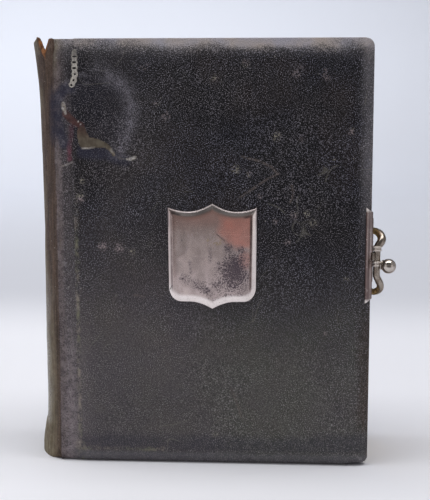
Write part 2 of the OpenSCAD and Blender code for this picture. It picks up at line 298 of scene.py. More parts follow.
def leather():
    """Black pebble-grain leather. What each point carries comes with the mesh:
    dust, moss, rub, bloom, scuff, sore, scratch, tan, olive, plum, gloss, ring, blue, peel,
    pale, red, pink, raw. Rub holds wear plus a painted sheen at the head, fore-edge and spine rim;
    pale holds pale marks plus a painted highlight along the flap's lower edge."""
    m = Mat("pebbled_leather")
    co = m.warp(1000, 0.0006)
    edge = m.cells(1500, "DISTANCE_TO_EDGE", co)
    pebble = m.ramp(edge, 0.02, 0.24)
    lump = m.noise(2750, 1.2, 0.5)
    fine = m.noise(3600, 3)
    patch = m.noise(50, 5, 0.6)
    blotch = m.noise(240, 4, 0.6)
    peel, rub, dust = m.attribute("peel"), m.attribute("rub"), m.attribute("dust")
    # colour: near-black creases (black dye with painted crease shade), the top of each pebble greyer from wear and with
    # a painted highlight, and a grey layer, stronger toward the bottom, that levels them
    top_wear_and_glint = m.math("MULTIPLY", m.ramp(lump, 0.53, 0.665), m.ramp(edge, 0.0, 0.14, 0.65, 1.0))
    top_wear_and_glint = m.math("MULTIPLY", top_wear_and_glint, m.ramp(blotch, 0.3, 0.7, 0.78, 1.12))
    top_wear_and_glint = m.math("MULTIPLY", top_wear_and_glint, m.ramp(m.noise(34, 3, 0.55), 0.38, 0.60, 0.80, 1.10))
    c = m.mix(m.ramp(patch, 0.35, 0.68), (0.0034, 0.0034, 0.0060), (0.0058, 0.0055, 0.0066))
    c = m.mix(top_wear_and_glint, c, m.mix(m.ramp(m.noise(26, 3), 0.4, 0.62), (0.225, 0.223, 0.282), (0.243, 0.224, 0.246)))
    grey = m.mix(m.ramp(m.noise(75, 4, 0.55), 0.35, 0.68), (0.108, 0.096, 0.105), (0.120, 0.108, 0.104))
    grey = m.mix(m.math("MULTIPLY", m.attribute("moss"), m.ramp(m.noise(60, 4, 0.6), 0.3, 0.65, 0.5, 1.0)), grey, (0.103, 0.105, 0.091))
    grey = m.mix(m.math("MULTIPLY", top_wear_and_glint, 0.84), grey, (0.350, 0.328, 0.332))
    # creases darkened in the grey layer: painted crease shade
    grey = m.mix(m.ramp(edge, 0.10, 0.0, 0.0, 0.55), grey, (0.030, 0.028, 0.031))
    grey = m.mix(m.ramp(lump, 0.46, 0.34, 0.0, 0.6), grey, (0.040, 0.037, 0.041))
    c = m.mix(dust, c, grey)
    tan, plum = m.attribute("tan"), m.attribute("plum")
    streak = m.noise(110, 5, 0.65, m.stretch(9, 9, 0.7))
    mottle = m.noise(520, 4, 0.62)
    lilac = m.mix(m.ramp(mottle, 0.34, 0.66), (0.152, 0.131, 0.142), (0.318, 0.276, 0.286))
    lilac = m.mix(m.math("MULTIPLY", top_wear_and_glint, 0.5), lilac, (0.34, 0.30, 0.305))
    lilac = m.mix(m.ramp(lump, 0.46, 0.34, 0.0, 0.65), lilac, (0.045, 0.038, 0.042))
    c = m.mix(plum, c, m.mix(m.math("MULTIPLY", m.ramp(m.noise(190, 4, 0.6, m.stretch(5, 5, 0.8)), 0.5, 0.72), 0.6), lilac, (0.215, 0.180, 0.160)))
    brown = m.mix(m.ramp(streak, 0.34, 0.66), (0.064, 0.042, 0.033), (0.146, 0.099, 0.074))
    brown = m.mix(m.math("MULTIPLY", m.ramp(mottle, 0.5, 0.7), 0.5), brown, (0.212, 0.155, 0.120))
    brown = m.mix(m.ramp(lump, 0.46, 0.34, 0.0, 0.5), brown, (0.020, 0.013, 0.010))
    c = m.mix(m.math("MULTIPLY", tan, m.ramp(streak, 0.2, 0.7, 0.75, 1.0)), c, brown)
    c = m.mix(m.math("MULTIPLY", m.attribute("olive"), m.ramp(mottle, 0.25, 0.65, 0.5, 1.0)), c, m.mix(m.ramp(streak, 0.35, 0.65), (0.176, 0.147, 0.091), (0.292, 0.253, 0.174)))
    # paler colour where rub is high: wear, plus a painted sheen wherever rub carries one
    worn_and_sheen = m.mix(m.ramp(m.noise(60, 4, 0.6), 0.30, 0.70), (0.300, 0.296, 0.350), (0.365, 0.318, 0.292))
    broken = m.math("SUBTRACT", m.math("ADD", m.math("MULTIPLY", pebble, 0.30), lump), 0.74)
    rubbed = m.math("MULTIPLY", m.ramp(m.math("ADD", rub, m.math("MULTIPLY", broken, 0.9)), 0.0, 0.95), m.ramp(rub, 0.0, 0.25))
    bloom = m.mix(m.math("MULTIPLY", top_wear_and_glint, 0.5), m.mix(m.ramp(mottle, 0.35, 0.65), (0.135, 0.132, 0.150), (0.185, 0.178, 0.192)), (0.30, 0.29, 0.31))
    c = m.mix(m.attribute("bloom"), c, bloom)
    c = m.mix(rubbed, c, worn_and_sheen)
    scuff = m.math("MULTIPLY", m.attribute("scuff"), m.ramp(m.math("ADD", m.noise(520, 4, 0.65), m.math("MULTIPLY", top_wear_and_glint, 0.15)), 0.40, 0.66))
    c = m.mix(scuff, c, m.mix(m.ramp(m.noise(180, 3), 0.42, 0.6), (0.232, 0.230, 0.162), (0.335, 0.292, 0.246)))
    c = m.mix(m.math("MULTIPLY", m.attribute("scratch"), m.ramp(m.noise(900, 3), 0.35, 0.6, 0.3, 1.0)), c, (0.185, 0.150, 0.136))
    c = m.mix(m.math("MULTIPLY", m.attribute("sore"), m.ramp(m.noise(1500, 3, 0.6), 0.48, 0.57)), c, m.mix(m.ramp(m.noise(120, 2), 0.45, 0.55), (0.42, 0.345, 0.350), (0.42, 0.39, 0.315)))
    blue = m.attribute("blue")
    c = m.mix(m.math("MULTIPLY", blue, m.ramp(m.noise(380, 4), 0.25, 0.65, 0.65, 1.0)), c, m.mix(m.math("MULTIPLY", top_wear_and_glint, 0.4), (0.034, 0.034, 0.058), (0.12, 0.118, 0.150)))
    spots = m.math("MULTIPLY", m.ramp(lump, 0.38, 0.58, 0.2, 1.0), m.ramp(m.noise(420, 4), 0.30, 0.62, 0.3, 1.0))
    c = m.mix(m.math("MULTIPLY", m.attribute("ring"), spots), c, (0.265, 0.252, 0.290))
    c = m.mix(peel, c, m.mix(m.ramp(m.noise(500, 4), 0.35, 0.65), (0.105, 0.086, 0.064), (0.165, 0.140, 0.104)))
    c = m.mix(m.attribute("red"), c, m.mix(m.ramp(m.noise(500, 3), 0.35, 0.65), (0.060, 0.026, 0.025), (0.125, 0.058, 0.054)))
    c = m.mix(m.attribute("pink"), c, m.mix(m.ramp(m.noise(650, 4), 0.35, 0.65), (0.12, 0.036, 0.055), (0.26, 0.080, 0.118)))
    c = m.mix(m.math("MULTIPLY", m.attribute("pale"), m.ramp(m.noise(1300, 3), 0.36, 0.6, 0.45, 1.0)), c, m.mix(m.ramp(m.noise(700, 3), 0.4, 0.6), (0.56, 0.50, 0.42), (0.74, 0.71, 0.69)))
    c = m.mix(m.attribute("raw"), c, m.mix(m.ramp(m.noise(420, 4), 0.36, 0.64), (0.105, 0.038, 0.016), (0.37, 0.165, 0.070)))
    # rubbed-through spots, loose flecks and hair-fine scratches
    spot = m.cells(52, "F1", m.warp(220, 0.006), "Distance")
    sores = m.math("MULTIPLY", m.ramp(spot, 0.12, 0.06), m.ramp(m.noise(1500, 3, 0.6), 0.48, 0.58))
    c = m.mix(m.math("MULTIPLY", sores, m.ramp(m.noise(16, 2), 0.46, 0.56)), c, (0.185, 0.155, 0.162))
    speck = m.cells(330, "F1", m.warp(900, 0.001), "Distance")
    flecks = m.math("MULTIPLY", m.ramp(speck, 0.10, 0.05), m.ramp(m.noise(38, 3), 0.50, 0.66))
    c = m.mix(m.math("MULTIPLY", flecks, 0.7), c, (0.42, 0.40, 0.37))
    for scale, seed, thin in ((17, 0.0, 0.0020), (31, 0.37, 0.0032)):
        bent = m.noise(scale, 1.0, 0.5, m.warp(60, 0.006))
        near = m.math("ABSOLUTE", m.math("SUBTRACT", bent, 0.47 + 0.08 * seed))
        lines = m.math("MULTIPLY", m.ramp(near, thin, thin * 0.3), m.ramp(m.noise(90, 3, 0.6), 0.54, 0.62))
        c = m.mix(m.math("MULTIPLY", lines, 0.34), c, (0.235, 0.222, 0.190))
    # surface
    flat = m.math("SUBTRACT", 1.0, m.math("MULTIPLY", peel, 0.93), clamp=True)
    soft = m.math("SUBTRACT", 1.0, m.math("MULTIPLY", rub, 0.35), clamp=True)
    grain = m.math("ADD", m.math("MULTIPLY", pebble, 0.55), m.ramp(lump, 0.35, 0.65, 0.0, 0.35))
    grain = m.math("MULTIPLY", grain, m.math("MULTIPLY", flat, soft))
    n = m.bump(grain, 0.8, 0.00028)
    n = m.bump(fine, 0.22, 0.00005, n)
    r = m.ramp(m.math("ADD", m.math("MULTIPLY", pebble, -0.25), m.math("ADD", blotch, m.math("MULTIPLY", rub, 0.3))), 0.1, 0.9, 0.42, 0.68)
    gloss = m.attribute("gloss")
    r = m.math("SUBTRACT", r, m.math("MULTIPLY", gloss, 0.22))
    m.link(m.math("ADD", m.ramp(tan, 0.1, 0.9, 0.15, 0.06), m.math("MULTIPLY", gloss, 0.30)), m.b.inputs["Specular IOR Level"])
    return m.done(c, r, n)


def nickel(name, base=(0.70, 0.60, 0.585), dark=(0.24, 0.20, 0.19), amount=0.6, rough=(0.16, 0.34), stained=False, metal=1.0, smudged=False):
    """Nickel plate, tarnished in clouds, with wiping marks, scratches and pits."""
    m = Mat(name)
    cloud = m.noise(150, 6, 0.62, None, 0.6)
    c = m.mix(m.math("MULTIPLY", m.ramp(cloud, 0.42, 0.72), amount), base, dark)
    c = m.mix(m.math("MULTIPLY", m.ramp(m.noise(420, 4), 0.55, 0.8), 0.5 * amount), c, (0.50, 0.40, 0.31))
    extra = None
    if stained:
        swirl = m.noise(170, 4, 0.6, m.stretch(1.6, 1.0, 0.7, m.warp(55, 0.016)))
        field = m.attribute("field")
        dull = m.mix(m.ramp(swirl, 0.34, 0.66), (0.640, 0.532, 0.507), (0.470, 0.388, 0.369))
        dull = m.mix(m.math("MULTIPLY", m.attribute("warm"), 1.0), dull, (0.40, 0.275, 0.245))
        c = m.mix(field, c, dull)
        c = m.mix(m.math("MULTIPLY", m.attribute("copper"), m.ramp(swirl, 0.2, 0.65, 1.0, 0.7)), c, (0.72, 0.328, 0.268))
        c = m.mix(m.math("MULTIPLY", m.attribute("yellow"), m.ramp(m.noise(900, 4), 0.52, 0.6)), c, (0.46, 0.33, 0.12))
        cloudy = m.noise(380, 5, 0.7, m.warp(200, 0.004))
        dots = m.noise(2700, 2, 0.5)
        extra = m.ramp(m.math("ADD", m.attribute("violet"), m.math("ADD", m.math("MULTIPLY", m.math("SUBTRACT", cloudy, 0.5), 0.7), m.math("MULTIPLY", m.math("SUBTRACT", dots, 0.5), 2.8))), 0.22, 0.98, 0.0, 0.95)
        extra = m.math("MULTIPLY", extra, m.ramp(m.attribute("violet"), 0.02, 0.25))
        c = m.mix(m.math("MULTIPLY", m.attribute("violet"), 0.42), c, (0.235, 0.195, 0.215))
        c = m.mix(extra, c, (0.085, 0.066, 0.082))
        # painted dark reflection line between rim and field on the lower sides
        c = m.mix(m.math("MULTIPLY", m.attribute("groove"), m.ramp(m.noise(500, 3), 0.3, 0.65, 0.7, 1.0)), c, (0.115, 0.075, 0.072))
        c = m.mix(m.attribute("cut"), c, (0.10, 0.08, 0.08))
        c = m.mix(m.math("MULTIPLY", m.attribute("lip"), 0.7), c, (0.30, 0.255, 0.27))
    pits = m.ramp(m.cells(700, "F1", m.warp(900, 0.0008)), 0.14, 0.05)
    pits = m.math("MULTIPLY", pits, m.ramp(m.noise(160, 3), 0.48, 0.66))
    c = m.mix(m.math("MULTIPLY", pits, 0.6), c, (0.16, 0.13, 0.11))
    c = m.mix(m.math("MULTIPLY", m.ramp(m.noise(2300, 3, 0.6), 0.5, 0.72), 0.30), c, (0.30, 0.25, 0.24))
    # painted dark reflections on the knob, placed by the mesh
    if smudged:
        c = m.mix(m.attribute("smudge"), c, (0.085, 0.062, 0.050))
    hair = m.noise(90, 2, 0.5, m.stretch(1.0, 1.0, 38, m.warp(30, 0.006)))
    hair2 = m.noise(110, 2, 0.5, m.stretch(30, 1.0, 1.6, m.warp(24, 0.008)))
    lines = m.math("MAXIMUM", m.ramp(hair, 0.66, 0.72), m.ramp(hair2, 0.67, 0.72))
    r = m.math("ADD", m.ramp(cloud, 0.3, 0.8, *rough), m.math("MULTIPLY", lines, 0.05))
    r = m.math("ADD", r, m.math("MULTIPLY", pits, 0.2), clamp=True)
    if extra is not None:
        r = m.math("ADD", r, m.math("ADD", m.math("MULTIPLY", extra, 0.22), m.math("MULTIPLY", m.attribute("lip"), 0.25)), clamp=True)
    h = m.math("SUBTRACT", m.math("MULTIPLY", lines, -0.6), m.math("MULTIPLY", pits, 0.7))
    n = m.bump(h, 0.15, 0.00002)
    n = m.bump(m.noise(60, 3), 0.06, 0.0003, n)
    return m.done(c, r, n, metal, Specular_Tint=(1, 1, 1, 1) if stained else (0.40, 0.36, 0.34, 1))


def channel_nickel():
    """Drawn nickel strip: streaked along its length, browned and rubbed, with painted shade down its left side and
    painted highlights at its ends.
    """
    m = Mat("channel_nickel")
    drawn = m.noise(950, 2, 0.5, m.stretch(1.0, 1.0, 0.012))
    cloud = m.noise(120, 5, 0.6)
    c = m.mix(m.ramp(drawn, 0.40, 0.60), (0.17, 0.125, 0.12), (0.47, 0.395, 0.375))
    c = m.mix(m.math("MULTIPLY", m.ramp(cloud, 0.45, 0.7), 0.5), c, (0.16, 0.115, 0.11))
    along = m.node("ShaderNodeSeparateXYZ")
    m.link(m.co, along.inputs[0])
    # painted shade: darker toward the strip's left edge, beside the leather
    c = m.mix(m.ramp(along.outputs[0], (XF - 0.9) * 0.001, (XF - 1.9) * 0.001, 0.0, 0.75), c, (0.10, 0.062, 0.058))
    c = m.mix(m.math("MULTIPLY", m.ramp(m.noise(900, 4), 0.6, 0.75), 0.5), c, (0.62, 0.57, 0.54))
    # painted highlights at the strip's top and bottom ends
    low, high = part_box("front_clasp_plate")
    far = m.math("ABSOLUTE", m.math("SUBTRACT", along.outputs[2], (low[2] + high[2]) / 2))
    c = m.mix(m.ramp(far, (high[2] - low[2]) / 2 - 0.0019, (high[2] - low[2]) / 2 - 0.0007, 0.0, 0.9), c, (0.78, 0.73, 0.70))
    r = m.ramp(cloud, 0.3, 0.75, 0.22, 0.38)
    n = m.bump(drawn, 0.5, 0.00012)
    return m.done(c, r, n, 1.0)


def worn_brass():
    """Wire whose plating has gone brown and dark, with brass showing through
    where the mesh says so."""
    m = Mat("worn_brass")
    cloud = m.noise(330, 6, 0.65, None, 0.8)
    c = m.mix(m.ramp(cloud, 0.36, 0.66), (0.37, 0.322, 0.276), (0.20, 0.158, 0.126))
    c = m.mix(m.math("MULTIPLY", m.ramp(m.noise(210, 5), 0.52, 0.70), 0.85), c, (0.12, 0.088, 0.066))
    c = m.mix(m.math("MULTIPLY", m.attribute("brass"), m.ramp(cloud, 0.3, 0.7, 0.9, 0.4)), c, (0.37, 0.34, 0.295))
    r = m.ramp(cloud, 0.3, 0.75, 0.18, 0.40)
    n = m.bump(m.noise(1500, 4), 0.3, 0.00005)
    return m.done(c, r, n, 1.0, Specular_Tint=(0.42, 0.38, 0.33, 1))


def plain_steel():
    m = Mat("dull_steel")
    cloud = m.noise(500, 5, 0.6)
    c = m.mix(m.ramp(cloud, 0.4, 0.7), (0.45, 0.44, 0.42), (0.24, 0.20, 0.16))
    return m.done(c, m.ramp(cloud, 0.3, 0.7, 0.3, 0.5), m.bump(m.noise(2500, 3), 0.3, 0.00003), 1.0)


def paper(name, light, dark, fibre=1.0, rough=0.82):
    """Paper or card with fibres, faint foxing and grubby patches."""
    m = Mat(name)
    fib = m.noise(1400, 5, 0.7, m.stretch(1.0, 1.0, 2.2, m.warp(300, 0.001)))
    age = m.noise(28, 5, 0.6)
    c = m.mix(m.ramp(age, 0.35, 0.7), light, dark)
    c = m.mix(m.math("MULTIPLY", m.ramp(fib, 0.5, 0.75), 0.35), c, tuple(v * 0.8 for v in dark))
    fox = m.ramp(m.cells(120, "F1", m.warp(160, 0.004)), 0.16, 0.05)
    fox = m.math("MULTIPLY", fox, m.ramp(m.noise(40, 3), 0.52, 0.68))
    c = m.mix(m.math("MULTIPLY", fox, 0.45), c, (0.30, 0.17, 0.07))
    n = m.bump(fib, 0.35 * fibre, 0.00006)
    return m.done(c, m.ramp(fib, 0.2, 0.8, rough - 0.08, rough + 0.06), n, Specular_IOR_Level=0.3)


def board_pulp():
    m = Mat("pulp_board")
    fib = m.noise(900, 6, 0.7, m.stretch(1, 3, 1))
    c = m.mix(m.ramp(fib, 0.35, 0.7), (0.30, 0.235, 0.15), (0.16, 0.12, 0.075))
    c = m.mix(m.math("MULTIPLY", m.ramp(m.cells(900, "F1"), 0.2, 0.05), 0.5), c, (0.42, 0.36, 0.27))
    return m.done(c, 0.9, m.bump(fib, 0.5, 0.0001), Specular_IOR_Level=0.2)


def gilt():
    """Gold leaf on card edges, rubbed through in places."""
    m = Mat("gilt_edge")
    rub = m.noise(260, 6, 0.65, m.stretch(1.0, 4.0, 1.0))
    c = m.mix(m.ramp(rub, 0.5, 0.72), (0.70, 0.515, 0.25), (0.54, 0.43, 0.27))
    metal = m.ramp(rub, 0.48, 0.74, 0.95, 0.25)
    fine = m.noise(900, 3, 0.5, m.stretch(1, 12, 1))
    m.link(metal, m.b.inputs["Metallic"])
    m.put(c, m.b.inputs["Base Color"])
    m.put(m.ramp(rub, 0.3, 0.75, 0.26, 0.6), m.b.inputs["Roughness"])
    m.put(m.bump(fine, 0.25, 0.00005), m.b.inputs["Normal"])
    return m.m


def cloth(name, light, dark):
    """Plain-weave binding cloth."""
    m = Mat(name)
    warp_th = m.node("ShaderNodeTexWave", wave_type="BANDS", bands_direction="Z")
    weft_th = m.node("ShaderNodeTexWave", wave_type="BANDS", bands_direction="X")
    for w in (warp_th, weft_th):
        m.link(m.warp(260, 0.0004), w.inputs["Vector"])
        w.inputs["Scale"].default_value = 420
        w.inputs["Distortion"].default_value = 0.6
    weave = m.math("MULTIPLY", warp_th.outputs["Fac"], weft_th.outputs["Fac"])
    dirt = m.noise(60, 5, 0.6)
    c = m.mix(m.ramp(weave, 0.05, 0.6), dark, light)
    c = m.mix(m.math("MULTIPLY", m.ramp(dirt, 0.45, 0.7), 0.4), c, tuple(v * 0.6 for v in dark))
    return m.done(c, 0.88, m.bump(weave, 0.6, 0.00012), Specular_IOR_Level=0.25)


M_LEATHER = leather()
M_SHIELD = nickel("shield_nickel", (0.86, 0.790, 0.762), (0.55, 0.48, 0.46), 0.30, (0.13, 0.22), True)
M_NICKEL = nickel("clasp_nickel", (0.52, 0.47, 0.43), (0.20, 0.16, 0.135), 0.7, (0.14, 0.28))
# a paler, less metallic copy of the clasp nickel so the collars read as lit: painted light
M_COLLAR_LIT_COPY = nickel("collar_nickel_lit_copy", (0.66, 0.60, 0.555), (0.34, 0.285, 0.25), 0.55, (0.30, 0.42), metal=0.55)
M_KNOB = nickel("knob_nickel", (0.60, 0.55, 0.505), (0.26, 0.21, 0.18), 0.7, (0.12, 0.24), smudged=True)
M_PLATE = channel_nickel()
M_BRASS = worn_brass()
M_STEEL = plain_steel()
M_CARD = paper("cream_card", (0.76, 0.70, 0.56), (0.64, 0.56, 0.41))
M_BACKCARD = paper("pocket_back", (0.60, 0.53, 0.40), (0.47, 0.39, 0.27))
M_ENDPAPER = paper("endpaper", (0.70, 0.66, 0.56), (0.58, 0.52, 0.41), 0.7)
M_GUARD = paper("guard_card", (0.62, 0.54, 0.39), (0.46, 0.38, 0.25), 1.4, 0.88)
M_BOARD = board_pulp()
M_GILT = gilt()
M_CLOTH = cloth("hinge_cloth", (0.66, 0.60, 0.48), (0.34, 0.29, 0.21))
M_JOINTCLOTH = cloth("joint_cloth", (0.075, 0.062, 0.055), (0.02, 0.017, 0.016))


# ------------------------------------------------------------------ leather
def spaced(a, b, step, ends=(), fine=0.3, reach=6.0):
    """Values from a to b, closer together near the ends named."""
    out, v = [a], a
    while v < b - 1e-9:
        near = ("a" in ends and v - a < reach) or ("b" in ends and b - v < reach)
        v += fine if near else step
        out.append(v)
    out = np.array(out)
    return a + (out - a) * (b - a) / (out[-1] - a)


def heights(d0):
    """Rows of a cover, closer together at the tail and over the marks at the head."""
    return np.concatenate([spaced(d0, 104.0, 0.52, ("a",))[:-1], spaced(104.0, H - d0, 0.31)])


def edge_far(x, z, r):
    """Distance in from the head, tail and fore-edge of a cover with round corners."""
    dx, dz = XF - x, np.minimum(z, H - z)
    corner = (dx < r) & (dz < r)
    return np.where(corner, r - np.hypot(r - dx, r - dz), np.minimum(dx, dz))


def bevel_v(d):
    w = 0.62
    t = (BEV_W - d) / w
    return BEV_D / BEV_W * w * np.logaddexp(0, t)


DX = XB + 49.293


def placed(*pts):
    return [(x + DX, z) for x, z in pts]


STRIP = placed((-48.7, 148.2), (-48.7, 146.2), (-48.7, 144.2), (-48.8, 142.3), (-48.7, 140.9), (-48.6, 139.7), (-49.0, 137.9), (-49.9, 135.9), (-50.3, 135.2))
GASH = placed((-53.2, 129.5), (-53.0, 128.0), (-52.6, 126.7), (-52.4, 126.0))
REDBAND = placed((-52.2, 126.0), (-51.0, 124.6), (-49.3, 123.3), (-46.9, 121.9))
FLAP = placed((-47.0, 121.8), (-45.5, 121.4), (-44.7, 119.4), (-43.9, 117.9), (-41.2, 117.5), (-38.1, 116.0), (-36.5, 114.6), (-34.9, 112.2), (-35.6, 111.3),
              (-37.0, 113.1), (-38.4, 114.2), (-41.3, 114.4), (-44.2, 114.0), (-46.6, 113.9), (-47.7, 115.6), (-48.2, 118.3), (-48.1, 120.6))
# a pale line along the flap's lower edge: painted highlight
FLAP_EDGE_HIGHLIGHT = placed((-46.6, 114.0), (-44.2, 114.1), (-42.3, 114.4))
TAIL = placed((-38.1, 115.2), (-36.5, 113.6), (-35.3, 111.8))
THIN = placed((-35.3, 111.6), (-33.5, 110.6), (-31.2, 110.3))
BLOB = placed((-30.8, 110.3), (-29.5, 110.3), (-28.1, 110.9))
REDMARK = placed((-51.1, 115.1), (-51.2, 112.5), (-51.2, 110.3))
REDFAINT = placed((-50.2, 121.4), (-50.5, 118.8), (-50.9, 115.7))
RING = placed((-40.9, 142.3), (-39.2, 141.6), (-36.9, 139.9), (-34.3, 137.7), (-31.2, 135.0), (-29.8, 132.3), (-29.0, 128.0), (-29.3, 123.7), (-30.5, 119.4), (-32.0, 115.7), (-33.8, 112.8))
RING2 = placed((-46.7, 139.4), (-43.8, 139.4), (-40.9, 138.9), (-37.8, 137.4), (-34.7, 135.5), (-32.4, 133.7))
RING3 = placed((-45.0, 136.3), (-42.7, 136.9), (-40.4, 136.6), (-38.1, 135.5))
BLUE = placed((-50.5, 135.0), (-52.8, 134.6), (-54.8, 132.0), (-55.3, 128.0), (-55.2, 123.7), (-54.4, 118.8), (-53.0, 115.7))
BLUE2 = placed((-46.6, 112.5), (-42.5, 112.2), (-38.2, 112.2), (-35.0, 110.7), (-31.5, 109.6))
SCRAPE = placed((-53.9, 107.8), (-52.2, 108.3), (-50.1, 109.2))
SORES = [(XB + x, z, r) for x, z, r in (
    (1.9, 96.4, 2.0), (9.4, 79.4, 1.9), (15.3, 78.9, 1.9), (19.6, 77.5, 1.4), (2.6, 102.5, 1.2), (29.0, 129.5, 1.6), (46.0, 92.0, 1.2),
    (56.6, 107.0, 1.8), (61.3, 104.9, 0.9), (64.9, 97.4, 0.9), (76.9, 90.9, 1.7), (83.6, 88.1, 1.9), (81.2, 91.5, 1.5), (70.5, 88.5, 0.9),
    (70.5, 118.4, 1.8), (96.4, 119.8, 1.6), (90.6, 110.4, 0.6), (82.6, 100.5, 0.7), (49.3, 138.0, 1.6), (59.9, 143.2, 1.8), (49.3, 11.0, 1.5),
    (95.4, 68.2, 1.2), (74.8, 81.1, 1.2), (88.3, 49.0, 0.8))]
SCRATCHES = [[(XB + x, z) for x, z in line] for line in (
    ((58.1, 97.1), (64.0, 101.1), (67.0, 103.2), (71.4, 105.4)), ((58.7, 111.3), (64.6, 109.8), (68.8, 107.9), (71.1, 105.1)),
    ((75.9, 101.4), (76.7, 98.6), (75.5, 95.3)), ((55.0, 28.0), (57.6, 21.4), (58.6, 17.8)), ((20.5, 62.0), (24.0, 61.6)))]


def front_marks(ob, x, z, dusk=0.0):
    """What the front of the album has been through, at each point of a piece."""
    n1, n2 = fbm(x, z, 3.2, 5), fbm(x, z, 9.0, 23)
    jig = (n1 - 0.5) * 1.6
    d = line_far(x, z, RING)
    ring = np.maximum(0.95 * smooth(2.3, 0.2, d + jig * 1.1), 0.50 * smooth(5.0, 1.0, d + jig * 1.4))
    ring = ring * (0.55 + 0.7 * n2) * (0.6 + 0.4 * smooth(143, 136, z))
    ring = np.maximum(ring, 0.60 * smooth(1.5, 0.2, line_far(x, z, RING2) + jig * 0.7) * smooth(0.3, 0.6, n1))
    ring = np.maximum(ring, 0.40 * smooth(1.6, 0.2, line_far(x, z, RING3) + jig * 0.7) * smooth(0.3, 0.6, n1))
    ring = np.maximum(ring, 0.34 * smooth(1.6, 0.4, line_far(x, z, BLUE) - 1.9 + jig * 0.4) * smooth(0.42, 0.6, n1))
    sore, scratch = 0 * x, 0 * x
    for px, pz, pr in SORES:
        sore = np.maximum(sore, (0.62 + 0.25 * (px < XB + 24)) * smooth(pr * 1.25, pr * 0.2, np.hypot(x - px, z - pz) + jig * 0.9))
    for line in SCRATCHES:
        scratch = np.maximum(scratch, 0.6 * smooth(0.55, 0.1, line_far(x, z, line) + jig * 0.12))
    flap = inside(x + jig * 0.2, z + jig * 0.15, FLAP).astype(float)
    peel = np.maximum(flap, smooth(0.8, 0.3, line_far(x, z, TAIL) + jig * 0.3) * 0.5)
    band = smooth(1.65, 0.7, line_far(x, z, REDBAND) + jig * 0.4)
    red = np.maximum(band * (1 - 0.35 * flap) * 0.85, 0.60 * flap * smooth(116.5, 120.5, z))
    pink = 0.72 * smooth(1.5, 0.1, line_far(x, z, REDMARK) + jig * 0.6) * (0.35 + 0.65 * smooth(115.5, 112.5, z))
    pink = np.maximum(pink, 0.24 * smooth(1.4, 0.2, line_far(x, z, REDFAINT) + jig * 0.5))
    pale = np.maximum.reduce([
        smooth(0.95, 0.3, line_far(x, z, GASH) + jig * 0.35 + 0.35 * smooth(128.2, 126.2, z)) * (0.85 - 0.5 * smooth(0.42, 0.15, np.hypot(x - DX + 52.9, z - 128.4))),
        smooth(0.85, 0.3, line_far(x, z, BLOB) + jig * 0.4) * 0.8,
        smooth(0.7, 0.2, line_far(x, z, TAIL[1:]) + jig * 0.3) * 0.34,
        smooth(0.8, 0.1, line_far(x, z, THIN) + jig * 0.4) * 0.16,
        # painted highlight along the flap's lower edge
        smooth(0.35, 0.1, line_far(x, z, FLAP_EDGE_HIGHLIGHT) + jig * 0.15) * 0.4,
        smooth(0.5, 0.1, line_far(x, z, SCRAPE) + jig * 0.4) * 0.4,
        smooth(0.42, 0.2, np.hypot(x - DX + 47.8, z - 123.3)) * 0.9,
        smooth(0.34, 0.15, np.hypot(x - DX + 47.0, z - 122.4)) * 0.7])
    blue = 0.95 * smooth(2.9, 0.8, line_far(x, z, BLUE) + jig * 0.6)
    blue = np.maximum(blue, 0.85 * smooth(3.2, 0.8, line_far(x, z, BLUE2) + jig * 0.7))
    blue = np.maximum(blue, 0.35 * smooth(15, 9, np.hypot(x - DX + 42, (z - 126) / 1.1)) * n2)
    blue = np.maximum(blue, dusk)
    hush = np.clip(1 - peel - band - pink, 0, 1)
    scuff = 1.5 * smooth(1.2, 0.1, np.abs(x - XB - 0.1) + jig * 0.8) * smooth(104, 86, z) * (0.30 + 0.70 * smooth(0.38, 0.60, n1)) * (0.5 + 0.7 * n2)
    scuff = np.maximum(scuff, 1.1 * smooth(1.3, 0.1, np.abs(z - 5.3) + jig * 0.7) * smooth(XB - 0.5, XB + 1, x) * smooth(XB + 33, XB + 30, x) * (0.45 + 0.55 * smooth(XB + 21, XB + 25, x) + 0.5 * smooth(XB + 4, XB + 1, x)))
    scuff = np.maximum(scuff, 0.9 * smooth(3.4, 0.6, np.hypot(x - XB - 0.6, z - 6.2) + jig))
    for name, value in (("ring", ring * hush), ("peel", peel), ("red", red), ("pink", pink * (1 - flap)), ("pale", pale), ("blue", blue * hush), ("scuff", scuff), ("sore", sore * hush), ("scratch", scratch * hush)):
        attr(ob, name, np.clip(value, 0, 1))


